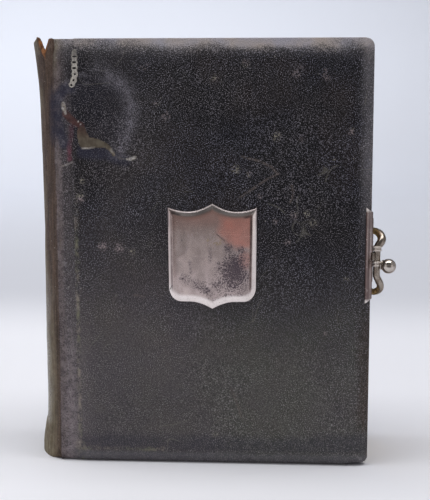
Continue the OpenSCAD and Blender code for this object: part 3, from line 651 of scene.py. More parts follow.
def cover_skin(name, front):
    """The leather of one cover: outer face, bevels, rounded edges and turn-ins."""
    r, d0 = 3.1, 0.16
    span = XF - d0 - XB
    s = spaced(0, span, 0.52, ("a", "b"), 0.31, 27.0 if front else 6.0) / span
    zs = heights(d0)
    dz = np.minimum(zs, H - zs)
    reach = np.where(dz < r, XF - r + np.sqrt(np.maximum(0, (r - d0) ** 2 - (r - dz) ** 2)), XF - d0)
    X = XB + s[None, :] * (reach[:, None] - XB)
    Z = np.repeat(zs[:, None], len(s), 1)
    d = edge_far(X, Z, r)
    seed = 40 if front else 80
    wave = (fbm(X, Z, 34, seed) - 0.5) * 0.42 + (fbm(X, Z, 7, seed + 3) - 0.5) * 0.10
    V = bevel_v(d) + wave * smooth(0.0, 6.0, d) * smooth(0, 5, X - XB)
    V += 0.34 * np.exp(-(X - XB) / 0.45)
    if front:
        flap = inside(X, Z, FLAP).astype(float)
        V += 0.16 * flap - 0.14 * smooth(0.8, 0.1, np.minimum(line_far(X, Z, FLAP + FLAP[:1]), 9)) * (1 - flap)
        V += 0.22 * smooth(1.0, 0.3, line_far(X, Z, REDBAND))
        V -= 0.10 * smooth(0.8, 0.2, line_far(X, Z, BLOB))
        V += 0.20 * smooth(1.9, 1.1, line_far(X, Z, STRIP))
    rows, cols = X.shape
    verts = np.stack([X, V, Z], -1).reshape(-1, 3)
    faces = grid_faces(rows, cols)
    # walk round the edge of that grid
    loop = [j for j in range(cols)] + [i * cols + cols - 1 for i in range(1, rows)]
    loop += [(rows - 1) * cols + j for j in range(cols - 2, -1, -1)] + [i * cols for i in range(rows - 2, 0, -1)]
    p = verts[loop]
    n = np.zeros((len(loop), 2))
    low, high = p[:, 2] < d0 + 1e-6, p[:, 2] > H - d0 - 1e-6
    n[low, 1], n[high, 1] = -1, 1
    side = ~(low | high)
    right = side & (p[:, 0] > XB + 1)
    n[right, 0] = 1
    n[side & ~right, 0] = -1
    for zc in (r, H - r):
        c = (p[:, 0] > XF - r - 1e-6) & (np.abs(p[:, 2] - (0 if zc == r else H)) < r + 1e-6)
        q = np.stack([p[c, 0] - (XF - r), p[c, 2] - zc], 1)
        n[c] = q / np.linalg.norm(q, axis=1)[:, None]
    left = p[:, 0] < XB + 1e-6
    rings = [(0.05, BEV_D + 0.22), (0.0, BEV_D + 0.55), (0.0, COVER_T - 0.55), (0.10, COVER_T - 0.2), (0.42, COVER_T - 0.02), (1.1, COVER_T)]
    base, count = len(verts), len(loop)
    parts = [verts]
    for k, (ins, v) in enumerate(rings):
        q = np.empty((count, 3))
        shift = d0 - ins
        q[:, 0] = p[:, 0] + n[:, 0] * shift * ~left
        q[:, 2] = p[:, 2] + n[:, 1] * shift
        q[:, 1] = v
        q[left, 0] = XB
        parts.append(q)
    q = np.empty((count, 3))
    q[:, 0] = np.clip(p[:, 0], XB + 4.2, XF - 10.2)
    q[:, 2] = np.clip(p[:, 2], 10.2, H - 10.2)
    q[:, 1] = COVER_T + 0.02
    parts.append(q)
    q2 = q.copy()
    q2[:, 1] = COVER_T - 0.45
    parts.append(q2)
    prev = loop
    for k in range(len(rings) + 2):
        cur = [base + k * count + i for i in range(count)]
        for i in range(count):
            j = (i + 1) % count
            faces.append((prev[i], cur[i], cur[j], prev[j]))
        prev = cur
    allv = np.concatenate(parts)
    if front:
        # frayed away under the tail corner
        allv[:, 2] += 0.62 * smooth(XF - 6.9, XF - 6.4, allv[:, 0]) * smooth(4.0, 0.4, allv[:, 2]) * smooth(4.4, 3.6, allv[:, 1])
    x, v, z = allv[:, 0].copy(), allv[:, 1].copy(), allv[:, 2].copy()
    allv[:, 1] = YF + v if front else YB - v
    ob = make(name, allv, faces, [M_LEATHER])
    dd = edge_far(x, z, r)
    dd[base:] = 0
    n1, n2 = fbm(x, z, 6, 11 + seed), fbm(x, z, 22, 31 + seed)
    patchy = fbm(x, z, 14, 51 + seed)
    # rub: wear at the head, fore-edge, ridge, lip and corners; the head band and the band along the upper fore-edge
    # also stand for a painted sheen
    top = (0.70 * smooth(4.8, 0.0, H - z + (n1 - 0.5) * 1.6) + 0.34 * smooth(8.5, 1.0, H - z + (n2 - 0.5) * 4.0)) * (0.62 + 0.62 * smooth(0.25, 0.7, patchy))
    side = smooth(6.0, 1.2, XF - x + (n1 - 0.5) * 2)
    ridge = np.exp(-(((dd - BEV_W) / 0.8) ** 2))
    lip = smooth(1.0, 0.0, dd)
    rub = top * (0.95 + 0.45 * n2) * (0.62 + 0.38 * smooth(XB + 2, XB + 24, x)) + 0.30 * side * (0.4 + n2) * smooth(50, 105, z) + 0.14 * ridge * smooth(0.5, 0.7, n1) + 0.25 * lip * smooth(0.4, 0.65, n1)
    corners = smooth(9, 2, np.hypot(XF - x, np.minimum(z, H - z)))
    mitre = smooth(0.7, 0.15, np.abs((XF - x) - z) + (n1 - 0.5) * 0.6) * smooth(8, 4, z) * smooth(0.3, 2.0, z)
    rub += 0.14 * corners * smooth(0.4, 0.65, n1) + 0.5 * mitre * smooth(0.3, 0.5, n1)
    rub += 0.05 * smooth(0.55, 0.75, n2) * smooth(0.4, 0.6, n1)
    right_low = side * smooth(62, 45, z) * smooth(9, 16, z)
    # grey layer: greyer toward the bottom, with a band up the fore-edge
    dust = (smooth(108, 26, z) + (smooth(88, 20, z) - smooth(108, 26, z)) * smooth(XB + 20, XB + 70, x)) * (0.78 + 0.5 * n2) + 0.06 * n1 + 0.30 * smooth(66, 100, z) * smooth(XB + 44, XB + 22, x) * smooth(XB + 4, XB + 16, x) * n2
    dust = dust * (1 - 0.45 * right_low) + 0.22 * side * smooth(60, 100, z)
    moss = smooth(XB + 34, XB + 62, x) * smooth(80, 45, z) * (0.3 + n2) + 0.35 * smooth(58, 40, z) * n1
    tan = 0.08 * smooth(0.5, 0.75, n2) + 0.25 * lip + 0.34 * right_low + 0.30 * corners * smooth(0.35, 0.6, n2) * (z < H / 2)
    plum = 0.54 * smooth(XB + 8, XB - 4, x) * smooth(70, 28, z) * (0.45 + 0.8 * n2)
    if front:
        dusk = 0.40 * smooth(12.5, 8.5, z + (n2 - 0.5) * 6) * smooth(4.0, 6.0, z)
        attr(ob, "moss", np.clip(moss, 0, 1))
        attr(ob, "bloom", np.clip(0.62 * smooth(5.2, 3.0, z + (n1 - 0.5) * 1.5) * (0.6 + 0.6 * n2) + 0.42 * side * smooth(50, 105, z) * (0.5 + n2) + 0.20 * smooth(9.0, 3.0, H - z + (n2 - 0.5) * 5), 0, 1))
    attr(ob, "plum", np.clip(plum, 0, 1))
    attr(ob, "rub", np.clip(rub, 0, 1))
    attr(ob, "tan", np.clip(tan, 0, 1))
    attr(ob, "dust", np.clip(dust, 0, 1))
    if front:
        front_marks(ob, x, z, dusk)
    mend(ob)
    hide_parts("front_leather" if front else "back_leather")
    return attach(ob, "front_cover" if front else "back_cover")


def joint_skin(name, front):
    """The leather between the spine and a cover, with its hollow along the joint."""
    key = np.array([(XA - 0.25, 0.80), (XA + 0.15, 0.92), (XA + 0.5, 1.06), (XA + 0.85, 1.06), (XA + 1.5, 0.96), (XA + 3.0, 0.88), (XA + 4.6, 0.82),
                    (XA + 5.7, 0.74), (XA + 6.4, 0.58), (XA + 6.8, 0.42), (XA + 7.05, 0.33)])
    xs = np.linspace(key[0, 0], key[-1, 0], 30)
    vs = np.interp(xs, key[:, 0], key[:, 1])
    zs = heights(0.16)
    X, Z = np.meshgrid(xs, zs)
    V = np.repeat(vs[None, :], len(zs), 0)
    dz = np.minimum(Z, H - Z)
    V = V + 0.95 * bevel_v(dz) * smooth(-1.6, 0.8, X - XA)
    V = V + (fbm(X, Z, 5, 61 if front else 62) - 0.5) * 0.16
    if front:
        V += 0.3 * smooth(1.2, 0.3, line_far(X, Z, GASH)) + 0.2 * smooth(1.0, 0.3, line_far(X, Z, REDBAND))
    rows, cols = X.shape
    inner = np.maximum(V + 0.8, 1.9)
    outer_v = np.stack([X, V, Z], -1).reshape(-1, 3)
    inner_v = np.stack([X, inner, np.clip(Z, 0.35, H - 0.35)], -1).reshape(-1, 3)
    allv = np.concatenate([outer_v, inner_v])
    k = rows * cols
    faces = grid_faces(rows, cols) + grid_faces(rows, cols, k, flip=True)
    edge = [j for j in range(cols)] + [i * cols + cols - 1 for i in range(1, rows)] + [(rows - 1) * cols + j for j in range(cols - 2, -1, -1)] + [i * cols for i in range(rows - 2, 0, -1)]
    for a, b in zip(edge, edge[1:] + edge[:1]):
        faces.append((a, k + a, k + b, b))
    x, v, z = allv[:, 0].copy(), allv[:, 1].copy(), allv[:, 2].copy()
    allv[:, 1] = YF + v if front else YB - v
    ob = make(name, allv, faces, [M_LEATHER])
    n1, n2 = fbm(x, z, 6, 71), fbm(x, z, 20, 72)
    dz = np.minimum(z, H - z)
    # the head band of rub is wear plus a painted sheen
    rub = (0.72 * smooth(4.2, 0.2, H - z + (n1 - 0.5) * 2.4) + 0.32 * smooth(8.5, 1.0, H - z + (n2 - 0.5) * 5.0)) * 0.62 * (0.95 + 0.45 * n2) * (0.45 + 0.55 * smooth(XA + 0.5, XB, x))
    rub += 0.05 * smooth(0.5, 0.7, n2) + 0.20 * smooth(7, 2, z) * smooth(XB - 3, XB, x) * n1
    tan = smooth(XA + 3.2, XA + 0.6, x) * (0.14 + 0.26 * n2)
    tan += 0.5 * smooth(122, 135, z) * smooth(XA + 4.5, XA + 1.5, x) * n2
    plum = (0.94 * smooth(70, 24, z) * (1 - 0.55 * smooth(XB - 3.2, XB, x)) + smooth(32, 80, z) * (0.22 + 0.72 * smooth(XA + 3.0, XA + 1.0, x)) * smooth(XB + 0.5, XB - 3.0, x)) * (0.75 + 0.5 * n2)
    attr(ob, "olive", np.clip(0.55 * smooth(XA + 2.0, XA + 0.3, x) * smooth(136, 146, z) + 0.4 * smooth(6, 2, H - z) * smooth(XA + 5, XA + 1, x), 0, 1))
    attr(ob, "rub", np.clip(rub, 0, 1))
    attr(ob, "tan", np.clip(tan, 0, 1))
    attr(ob, "plum", np.clip(plum, 0, 1))
    # greyer toward the bottom
    attr(ob, "dust", np.clip(0.12 + smooth(116, 40, z) * (0.5 + 0.5 * n2), 0, 1))
    attr(ob, "bloom", np.clip(0.20 * smooth(9.0, 3.0, H - z + (n2 - 0.5) * 5) + 0.5 * smooth(5.2, 3.0, z + (n1 - 0.5) * 1.5) * smooth(XA + 3, XB, x), 0, 1))
    if front:
        front_marks(ob, x, z)
    mend(ob)
    if front:
        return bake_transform(ob)
    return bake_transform(ob)


FLARE = np.array([(0, 2.5), (2.9, 2.4), (5.3, 2.15), (8.2, 1.68), (10.6, 1.30), (11.6, 1.12), (12.4, 0.70), (15, 0.45), (20, 0.28), (30, 0.33), (45, 0.35), (60, 0.25), (85, 0.0), (110, 0.25), (131, 0.70), (136, 1.0), (141, 1.5), (146, 2.0), (150, 2.35), (153, 2.5)])


def spine_skin():
    """The rounded leather back, flared at its ends and torn at the head."""
    half = T / 2 - 0.75
    t = np.concatenate([np.linspace(-1, -0.5, 60, endpoint=False), np.linspace(-0.5, 1, 72)])
    na = len(t)
    zs = spaced(0.0, H, 0.6, ("a", "b"), 0.35, 9)
    bulge = 7.65 + np.interp(zs, FLARE[:, 0], FLARE[:, 1])

    def arc(b, out):
        R = (half * half + b * b) / (2 * b)
        ang = t * math.asin(half / R)
        rr = R + out
        return XA - 0.1 + (R - b) - rr * np.cos(ang), YM + rr * np.sin(ang)

    # how far the head falls short along the back: a notch near the front, a
    # raised tip beside it, and a torn edge that drops away behind
    notch = np.interp(t, [-1, -0.945, -0.915, -0.875, -0.80, -0.755, -0.64, -0.615, -0.58, -0.45, -0.15, 0.05, 0.3, 0.6, 0.85, 1],
                      [0.0, 0.05, 0.3, 2.2, 4.9, 3.9, -0.45, -0.80, -0.45, 0.35, 1.7, 3.6, 5.2, 5.0, 4.2, 1.0])
    ragged = (vnoise(t * 40, t * 0, 1.0, 5) - 0.5) * 0.55
    notch = notch + ragged * smooth(0.25, 0.8, np.abs(notch))
    near = np.exp(-(((t + 0.73) / 0.13) ** 2))
    verts, raw = [], []
    for layer in (0, 1):
        for i, z in enumerate(zs):
            up = smooth(H - 11, H, z)
            head = smooth(H - 9, H - 3, z)
            x, y = arc(bulge[i], -(0.85 + 0.25 * near * head) if layer else 0.0)
            # the foot is turned in where it meets the cover
            tuck = 0.9 * bevel_v(np.array([z]))[0] * smooth(-0.72, -1.0, t) if z < H / 2 else 0 * t
            y = y + tuck
            curl = smooth(H - 3.0, H, z) * 0.14
            zz = z - notch * up - (0.25 if layer else 0) * (smooth(H - 1, H, z) - smooth(1, 0, z)) + 0.45 * smooth(2.5, 0, z) * smooth(-0.6, -1.0, t)
            bump = (fbm(t * 20, np.full(na, z), 12, 91) - 0.5) * 0.35
            lean = np.exp(-(((t + 0.62) / 0.07) ** 2)) * smooth(H - 7, H, z) * 0.5
            verts.append(np.stack([x - bump * np.cos(t) - curl - lean, y, zz], -1))
            reach = 1.9 + 1.5 * smooth(-0.82, -0.76, t) if layer == 0 else 7 + 0 * t
            edge = np.clip((z - H + reach) / (0.6 * reach), 0, 1) * np.exp(-(((t + 0.77) / 0.125) ** 2)) * 1.7
            crack = 0.9 * np.exp(-(((t + 0.80) / 0.022) ** 2)) * smooth(H - 4.5, H - 1.5, z) * (layer == 0)
            torn = smooth(H - 0.9, H, z) * smooth(-0.3, 0.0, t) * 0.8
            raw.append(np.clip(np.maximum.reduce([edge, crack + 0 * t, torn]), 0, 1))
    rows = len(zs)
    allv = np.concatenate(verts)
    k = rows * na
    faces = grid_faces(rows, na, flip=True) + grid_faces(rows, na, k)
    edge = [j for j in range(na)] + [i * na + na - 1 for i in range(1, rows)] + [(rows - 1) * na + j for j in range(na - 2, -1, -1)] + [i * na for i in range(rows - 2, 0, -1)]
    for a, b in zip(edge, edge[1:] + edge[:1]):
        faces.append((a, b, k + b, k + a))
    ob = make("spine_skin", allv, faces, [M_LEATHER])
    x, y, z = allv.T
    n1, n2 = fbm(y, z, 6, 101), fbm(y, z, 24, 102)
    tt = np.concatenate([t] * (2 * rows))
    rub = 0.10 * smooth(5, 0.5, H - z) + 0.08 * smooth(0.45, 0.8, n1) * smooth(0.4, 0.7, n2) + 0.12 * smooth(-0.4, 0.0, tt) * smooth(0.3, 0.65, n1)
    gloss = smooth(78, 44, z) * smooth(10.6, 13.0, z) * smooth(-0.84, -0.52, tt + (n1 - 0.5) * 0.2)
    # painted sheen: a paler band on the glossy rim, added to rub and olive
    painted_rim_sheen = gloss * smooth(-0.52, -0.40, tt + (n1 - 0.5) * 0.2) * smooth(-0.12, -0.26, tt + (n1 - 0.5) * 0.3) * smooth(0.15, 0.5, fbm(y, z, 10, 103))
    rub += 0.30 * painted_rim_sheen * smooth(0.35, 0.65, n1)
    attr(ob, "gloss", np.clip(gloss, 0, 1))
    attr(ob, "rub", np.clip(rub, 0, 1))
    attr(ob, "tan", np.clip(0.86 + 0.3 * n2, 0, 1))
    attr(ob, "bloom", np.clip(0.55 * smooth(11, 4, H - z) * smooth(-0.75, -0.45, tt) * smooth(0.35, 0.6, n1), 0, 1))
    olive = 0.95 * smooth(80, 30, z) * smooth(-1.02, -0.72, tt) * (0.4 + 0.8 * n2) + 0.80 * smooth(-0.62, -0.28, tt) * (0.45 + 0.6 * n1) + 0.5 * smooth(-0.75, -0.5, tt) * smooth(0.45, 0.62, n2)
    olive += 0.5 * smooth(8, 3, H - z) * smooth(-0.7, -0.5, tt)
    attr(ob, "olive", np.clip(olive + 0.4 * painted_rim_sheen, 0, 1))
    attr(ob, "plum", np.clip(0.30 * smooth(-0.84, -0.98, tt) * smooth(75, 100, z), 0, 1))
    attr(ob, "blue", np.clip(0.9 * smooth(-0.80, -0.97, tt + (n1 - 0.5) * 0.08) * smooth(112, 119, z) * smooth(138, 131, z), 0, 1))
    attr(ob, "raw", np.concatenate(raw))
    mend(ob)
    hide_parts("spine_leather")
    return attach(ob, "spine")


def inner_joint(name, front):
    """The cloth inside a joint, folded in while the album is shut."""
    g = YM - (PITCH * NLEAF / 2) + 0.03 - YF  # depth of the guards' outer face
    key = [(XB + 6.0, COVER_T + 0.04), (XB + 1.2, COVER_T + 0.04), (XB + 0.2, COVER_T - 0.02), (XB - 0.5, COVER_T - 0.35), (XB - 1.4, COVER_T - 0.5),
           (XB - 2.3, COVER_T - 0.4), (XB - 2.75, COVER_T - 0.05), (XB - 2.3, g - 0.12), (XB - 1.4, g - 0.07), (XB + 0.6, g - 0.05), (XB + 1.05, g - 0.05)]
    key = np.array(key)
    t = np.linspace(0, len(key) - 1, 48)
    xs, vs = np.interp(t, range(len(key)), key[:, 0]), np.interp(t, range(len(key)), key[:, 1])
    zs = np.linspace(5.0, H - 5.0, 60)
    verts = [(x, (YF + v) if front else (YB - v), z) for z in zs for x, v in zip(xs, vs)]
    ob = make(name, verts, grid_faces(len(zs), len(xs), flip=not front), [M_JOINTCLOTH])
    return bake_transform(ob)


def thread_strip():
    """Woven mesh that shows where the leather has split along the crease."""
    p = np.array(STRIP)
    far = np.concatenate([[0], np.cumsum(np.hypot(*(p[1:] - p[:-1]).T))])
    s = np.linspace(0, far[-1], 132)
    w = np.linspace(-1, 1, 25)
    S, W = np.meshgrid(s, w, indexing="ij")
    cx, cz = np.interp(s, far, p[:, 0]), np.interp(s, far, p[:, 1])
    cx = np.convolve(np.pad(cx, 9, mode="edge"), np.ones(19) / 19, "valid")
    tx, tz = np.gradient(cx, s), np.gradient(cz, s)
    l = np.hypot(tx, tz)
    tx, tz = tx / l, tz / l
    # holes: along, across, half length, half width
    loops = [(2.5, 0.05, 0.30, 0.70), (4.4, 0.0, 0.36, 0.72), (6.4, -0.12, 0.36, 0.62), (8.5, 0.02, 0.36, 0.36), (10.6, 0.10, 0.40, 0.30), (12.55, -0.02, 0.34, 0.36)]
    ripple = np.zeros(len(s))
    for k, (at, off, a, b) in enumerate(loops):
        ripple = np.maximum(ripple, np.exp(-(((s - at) / 0.72) ** 2)))
    wide = 0.86 + 0.30 * ripple + 0.10 * (vnoise(s, s * 0, 0.8, 9) - 0.5)
    wide = wide * (0.6 + 0.4 * smooth(far[-1] + 0.1, far[-1] - 0.9, s)) * (0.75 + 0.25 * smooth(0, 1.0, s))
    X = cx[:, None] - tz[:, None] * W * wide[:, None]
    Z = cz[:, None] + tx[:, None] * W * wide[:, None]
    hole = np.zeros(S.shape)
    for at, off, a, b in loops:
        q = np.hypot((S - at) / a, (W * wide[:, None] - off) / b) + 0.5 * (vnoise(S, W, 0.5, 12) - 0.5)
        hole = np.maximum(hole, smooth(1.3, 0.8, q))
    high = 0.26 * (1 - W**2) * (1 - hole) + 0.05 * (vnoise(S, W * 2, 0.35, 15) - 0.5)
    base = YF + bevel_v(np.minimum(Z, H - Z)) + 0.10
    Y = base - high
    rows, cols = X.shape
    top = np.stack([X, Y, Z], -1).reshape(-1, 3)
    low = np.stack([X, base + 0.35, Z], -1).reshape(-1, 3)
    k = rows * cols
    faces = grid_faces(rows, cols) + grid_faces(rows, cols, k, flip=True)
    edge = [j for j in range(cols)] + [i * cols + cols - 1 for i in range(1, rows)] + [(rows - 1) * cols + j for j in range(cols - 2, -1, -1)] + [i * cols for i in range(rows - 2, 0, -1)]
    for a, b in zip(edge, edge[1:] + edge[:1]):
        faces.append((a, k + a, k + b, b))
    m = Mat("old_thread")
    f = m.noise(1700, 4, 0.6)
    c = m.mix(m.ramp(f, 0.35, 0.65), (0.62, 0.59, 0.53), (0.30, 0.275, 0.25))
    c = m.mix(m.attribute("hole"), c, (0.018, 0.017, 0.019))
    c = m.mix(m.math("MULTIPLY", m.attribute("grime"), m.ramp(m.noise(500, 3), 0.3, 0.6, 0.5, 1.0)), c, (0.09, 0.085, 0.085))
    mat = m.done(c, 0.85, m.bump(f, 0.5, 0.0001), Specular_IOR_Level=0.25)
    ob = make("crease_threads", np.concatenate([top, low]), faces, [mat])
    attr(ob, "hole", np.concatenate([hole.ravel(), np.ones(k)]))
    grime = np.clip(0.75 * smooth(5.5, 1.0, S) + 0.35 * smooth(0.6, 1.0, np.abs(W)), 0, 1)
    attr(ob, "grime", np.concatenate([grime.ravel(), np.ones(k)]))
    mend(ob)
    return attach(ob, "front_cover")


front_cover = cover_skin("front_cover_leather", True)
back_cover = cover_skin("back_cover_leather", False)
front_joint = joint_skin("front_joint_leather", True)
back_joint = joint_skin("back_joint_leather", False)
spine = spine_skin()
front_inner = inner_joint("front_inner_joint", True)
back_inner = inner_joint("back_inner_joint", False)
threads = thread_strip()


# ------------------------------------------------------------------ shield
def shield():
    cx, cz = XF - 55.7, H / 2 + 0.1
    sw, sh = 31.5 / 2, 37.7 / 2
    half = []
    for x in np.concatenate([np.linspace(0, 0.548, 26), np.linspace(0.548, 1.0, 22)[1:]]):
        half.append((x, 0.845 + (0.516 if x < 0.548 else 0.40) * (x - 0.548) ** 2))
    for k in np.linspace(0, 1, 40)[1:]:
        half.append((1.0 - 0.015 * k, 0.927 - 1.507 * k))
    for a in np.linspace(0, 90, 18)[1:]:
        half.append((0.70 + 0.285 * math.cos(math.radians(a)), -0.58 - 0.283 * math.sin(math.radians(a))))
    for x in np.linspace(0.70, 0.473, 8)[1:]:
        half.append((x, -0.863 - 0.003 * (0.70 - x) / 0.227))
    for x in np.linspace(0.473, 0, 22)[1:]:
        half.append((x, -0.866 - 0.134 * (1 - x / 0.473) ** 1.7))
    pts = half + [(-x, z) for x, z in half[-2:0:-1]]
    pts = np.array(pts) * (sw, sh)
    closed = [tuple(q) for q in pts] + [tuple(pts[0])]

    def inset(d):
        """The outline moved in by d, each point along its own ray from the middle."""
        if d <= 0:
            return pts
        lo, hi = np.full(len(pts), 0.3), np.ones(len(pts))
        for _ in range(28):
            mid = (lo + hi) / 2
            ok = line_far(pts[:, 0] * mid, pts[:, 1] * mid, closed) > d
            lo, hi = np.where(ok, mid, lo), np.where(ok, hi, mid)
        return pts * lo[:, None]

    # the rim rounds over: distance in from the edge, and slope up to there
    rings = [(0.0, -0.2), (0.0, 0.08)]
    for to, slope in ((0.10, 64), (0.13, 55), (0.15, 47), (0.17, 41), (0.32, 37), (0.45, 33), (0.55, 30), (0.65, 26), (0.95, 24), (1.30, 23), (1.45, 20), (1.60, 16.5), (1.75, 13.5),
                      (1.90, 10.5), (2.05, 8), (2.20, 5.5), (2.40, 3.5), (2.65, 2.2)):
        d, h = rings[-1]
        rings.append((to, h + (to - d) * math.tan(math.radians(slope))))
    verts = []
    for d, h in rings:
        verts += [(cx + x, YF - h, cz + z) for x, z in inset(d)]
    (d_in, h_in), fills = rings[-1], 44
    last = inset(d_in)
    for k in range(1, fills + 1):
        q = 1 - k / fills
        verts += [(cx + x * q, YF - h_in - (1.19 - h_in) * (1 - q * q), cz + z * q) for x, z in last]
    ob = make("shield_plaque", verts, grid_faces(len(rings) + fills, len(pts), wrap=True), [M_SHIELD])
    v = np.array(verts)
    x, z = v[:, 0] - cx, v[:, 2] - cz
    n1 = fbm(x, z, 4.0, 301)
    fuzz = (n1 - 0.5) * 3.5
    field = smooth(1.7, 2.6, line_far(x, z, closed))
    blob = lambda cx, cz, rx, rz: smooth(1.0, 0.45, np.hypot((x - cx) / rx, (z - cz) / rz) + fuzz * 0.12)
    patch = [(3.0, 13.8), (2.0, 8.4), (6.4, 4.6), (9.0, 3.4), (14.4, 4.0), (14.4, 14.6)]
    copper = np.maximum.reduce([smooth(-1.8, 1.7, np.where(inside(x, z, patch), 1, -1) * line_far(x, z, patch + patch[:1]) + fuzz * 0.6), 0.6 * blob(11.4, -1.0, 2.9, 4.4), 0.20 * smooth(-14, -6, x) * smooth(9.5, 14.0, z)])
    haze = lambda cx, cz, rx, rz: smooth(1.0, 0.0, np.hypot((x - cx) / rx, (z - cz) / rz) + fuzz * 0.16)
    violet = np.maximum.reduce([haze(7.6, -3.8, 8.4, 12.0), 1.1 * haze(8.8, -6.4, 4.0, 5.0), 0.8 * haze(5.6, 3.0, 4.0, 4.2), 0.85 * haze(10.2, 2.6, 3.2, 3.4), 0.50 * smooth(3.4, 0.0, line_far(x, z, [(-9.8, -7.8), (-6.5, -9.6), (-2.0, -11.6)]) + fuzz * 0.35),
                                0.45 * smooth(1.2, 0.2, line_far(x, z, [(-7.9, -2.0), (-7.6, -5.6)]) + fuzz * 0.25), 0.35 * smooth(1.3, 0.2, line_far(x, z, [(-0.8, 3.0), (-0.7, -1.4)]) + fuzz * 0.25), 0.5 * haze(2.0, -9.6, 5.0, 3.4)])
    cut = np.maximum.reduce([smooth(0.22, 0.08, line_far(x, z, [(1.6, 8.1), (4.5, 5.7)])), smooth(0.2, 0.08, line_far(x, z, [(-15.0, -11.6), (-14.1, -10.3)])), smooth(0.3, 0.1, np.hypot(x + 10.7, z - 5.9)), smooth(0.22, 0.08, line_far(x, z, [(4.9, -13.0), (4.9, -14.1)]))])
    far = line_far(x, z, closed)
    low = smooth(-11.5, -14.5, z)
    attr(ob, "field", np.maximum(smooth(1.3, 1.8, far) * (1 - low) + smooth(1.9, 3.3, far) * low, 0.55 * smooth(-12.5, -13.4, x) * smooth(-12, -9, z) + 0.12 * smooth(12.5, 13.4, x)))
    attr(ob, "warm", np.clip(0.75 * smooth(6.5, 12.5, z + fuzz * 0.8) + 0.35 * smooth(3.5, 2.2, far) * smooth(-12, -4, z), 0, 1))
    # a painted dark reflection line inside the rim, lower sides only, closer to the edge on the left
    attr(ob, "groove", smooth(0.50, 0.15, np.abs(far - np.where(x < 0, 1.25, 2.1))) * smooth(10.5, 12.2, np.abs(x)) * smooth(-13.5, -10.5, z) * 0.9)
    attr(ob, "copper", np.clip(field * copper, 0, 1))
    attr(ob, "violet", np.clip(field * (violet * 0.92 + 0.22 * smooth(2, -9, z) * smooth(-9, 3, x)), 0, 1))
    attr(ob, "yellow", np.clip(field * 0.7 * smooth(3.2, 0.8, np.hypot((x - 1.0) / 1.4, (z - 5.5) / 0.6) + fuzz * 0.4), 0, 1))
    attr(ob, "cut", np.clip(cut, 0, 1))
    attr(ob, "lip", smooth(0.7, 0.25, far) * smooth(9, 12, z))
    mend(ob)
    sharp_by_angle(ob, 34)
    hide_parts("shield_plate")
    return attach(ob, "front_cover")


shield_ob = shield()


# ------------------------------------------------------------------ clasp
def bow_path():
    """Middle of the wire and its radius: distance out from the fore-edge, depth
    from the front, height over the middle, radius."""
    up = [(2.1, 3, 1.5, 1.24), (2.12, 3, 4.6, 1.24), (2.2, 3.02, 5.8, 1.28), (2.75, 3.2, 6.8, 1.36), (3.55, 3.7, 7.9, 1.46), (3.85, 4.7, 9.0, 1.47), (3.35, 6.2, 10.2, 1.4),
          (2.3, 7.8, 10.9, 1.25), (1.2, 9.5, 11.1, 1.12), (0.6, 12, 11.1, 1.1)]
    down = [(2.08, 3, -1, 1.24), (2.03, 3, -3.0, 1.24), (2.15, 3.1, -4.4, 1.24), (2.9, 3.5, -6.0, 1.25), (3.55, 4.2, -7.5, 1.26), (3.6, 5.4, -9.0, 1.26), (2.9, 6.8, -10.2, 1.22),
            (1.8, 8.4, -10.9, 1.15), (0.9, 10.5, -11.1, 1.1), (0.5, 13, -11.1, 1.1)]
    arm = [(0.4, T / 2, 11.1, 1.1), (0.5, T - 13, 11.1, 1.1), (1.2, T - 9, 10.9, 1.1), (2, T - 5.8, 10.2, 1.1), (HINGE_U, T - 4, 9.9, 1.1)]
    key = [(u, v, -w, r) for u, v, w, r in arm[::-1]] + down[::-1] + up + arm
    key = np.array(key, float)
    out = []
    for i in range(len(key) - 1):
        a, b, c, d = key[max(0, i - 1)], key[i], key[i + 1], key[min(len(key) - 1, i + 2)]
        for t in np.linspace(0, 1, 8, endpoint=False):
            out.append(0.5 * (2 * b + (c - a) * t + (2 * a - 5 * b + 4 * c - d) * t**2 + (3 * b - a - 3 * c + d) * t**3))
    out.append(key[-1])
    return np.array(out)


def bow():
    p = bow_path()
    n = 22
    verts = []
    for i in range(len(p)):
        t = (p[min(len(p) - 1, i + 1)] - p[max(0, i - 1)])[:3]
        t = t / np.linalg.norm(t)
        s = np.array([1.0, 0, 0]) - t[0] * t
        s = s / np.linalg.norm(s)
        b = np.cross(t, s)
        for k in range(n):
            a = 2 * math.pi * k / n
            q = p[i][:3] + p[i][3] * (math.cos(a) * s + math.sin(a) * b)
            verts.append((XF + q[0], YF + q[1], ZBOW + q[2]))
    faces = grid_faces(len(p), n, wrap=True)
    faces.append(tuple(range(n))[::-1])
    faces.append(tuple(range((len(p) - 1) * n, len(p) * n)))
    ob = make("bow_wire", verts, faces, [M_BRASS])
    attr(ob, "brass", np.repeat(smooth(5.5, 8.0, p[:, 1]) * 0.9, n))
    mend(ob)
    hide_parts("clasp_bow")
    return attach(ob, "bow")


def collars():
    prof = [(1.10, -0.92), (1.45, -0.91), (1.68, -0.80), (1.76, -0.60), (1.70, -0.40), (1.54, -0.24), (1.38, -0.14), (1.33, 0.0), (1.38, 0.14), (1.54, 0.24), (1.70, 0.40), (1.76, 0.60), (1.68, 0.80), (1.45, 0.91), (1.10, 0.92)]
    verts, faces, n = [], [], 44
    for zc in (RING_HI, RING_LO):
        base = len(verts)
        for r, h in prof:
            for k in range(n):
                a = 2 * math.pi * k / n
                verts.append((XF + BAR_U + r * math.cos(a), YF + BAR_V + r * math.sin(a), zc + h))
        faces += grid_faces(len(prof), n, base, wrap=True)
    ob = make("bow_rings", verts, faces, [M_COLLAR_LIT_COPY])
    mend(ob)
    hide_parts("bow_collars")
    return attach(ob, "bow")


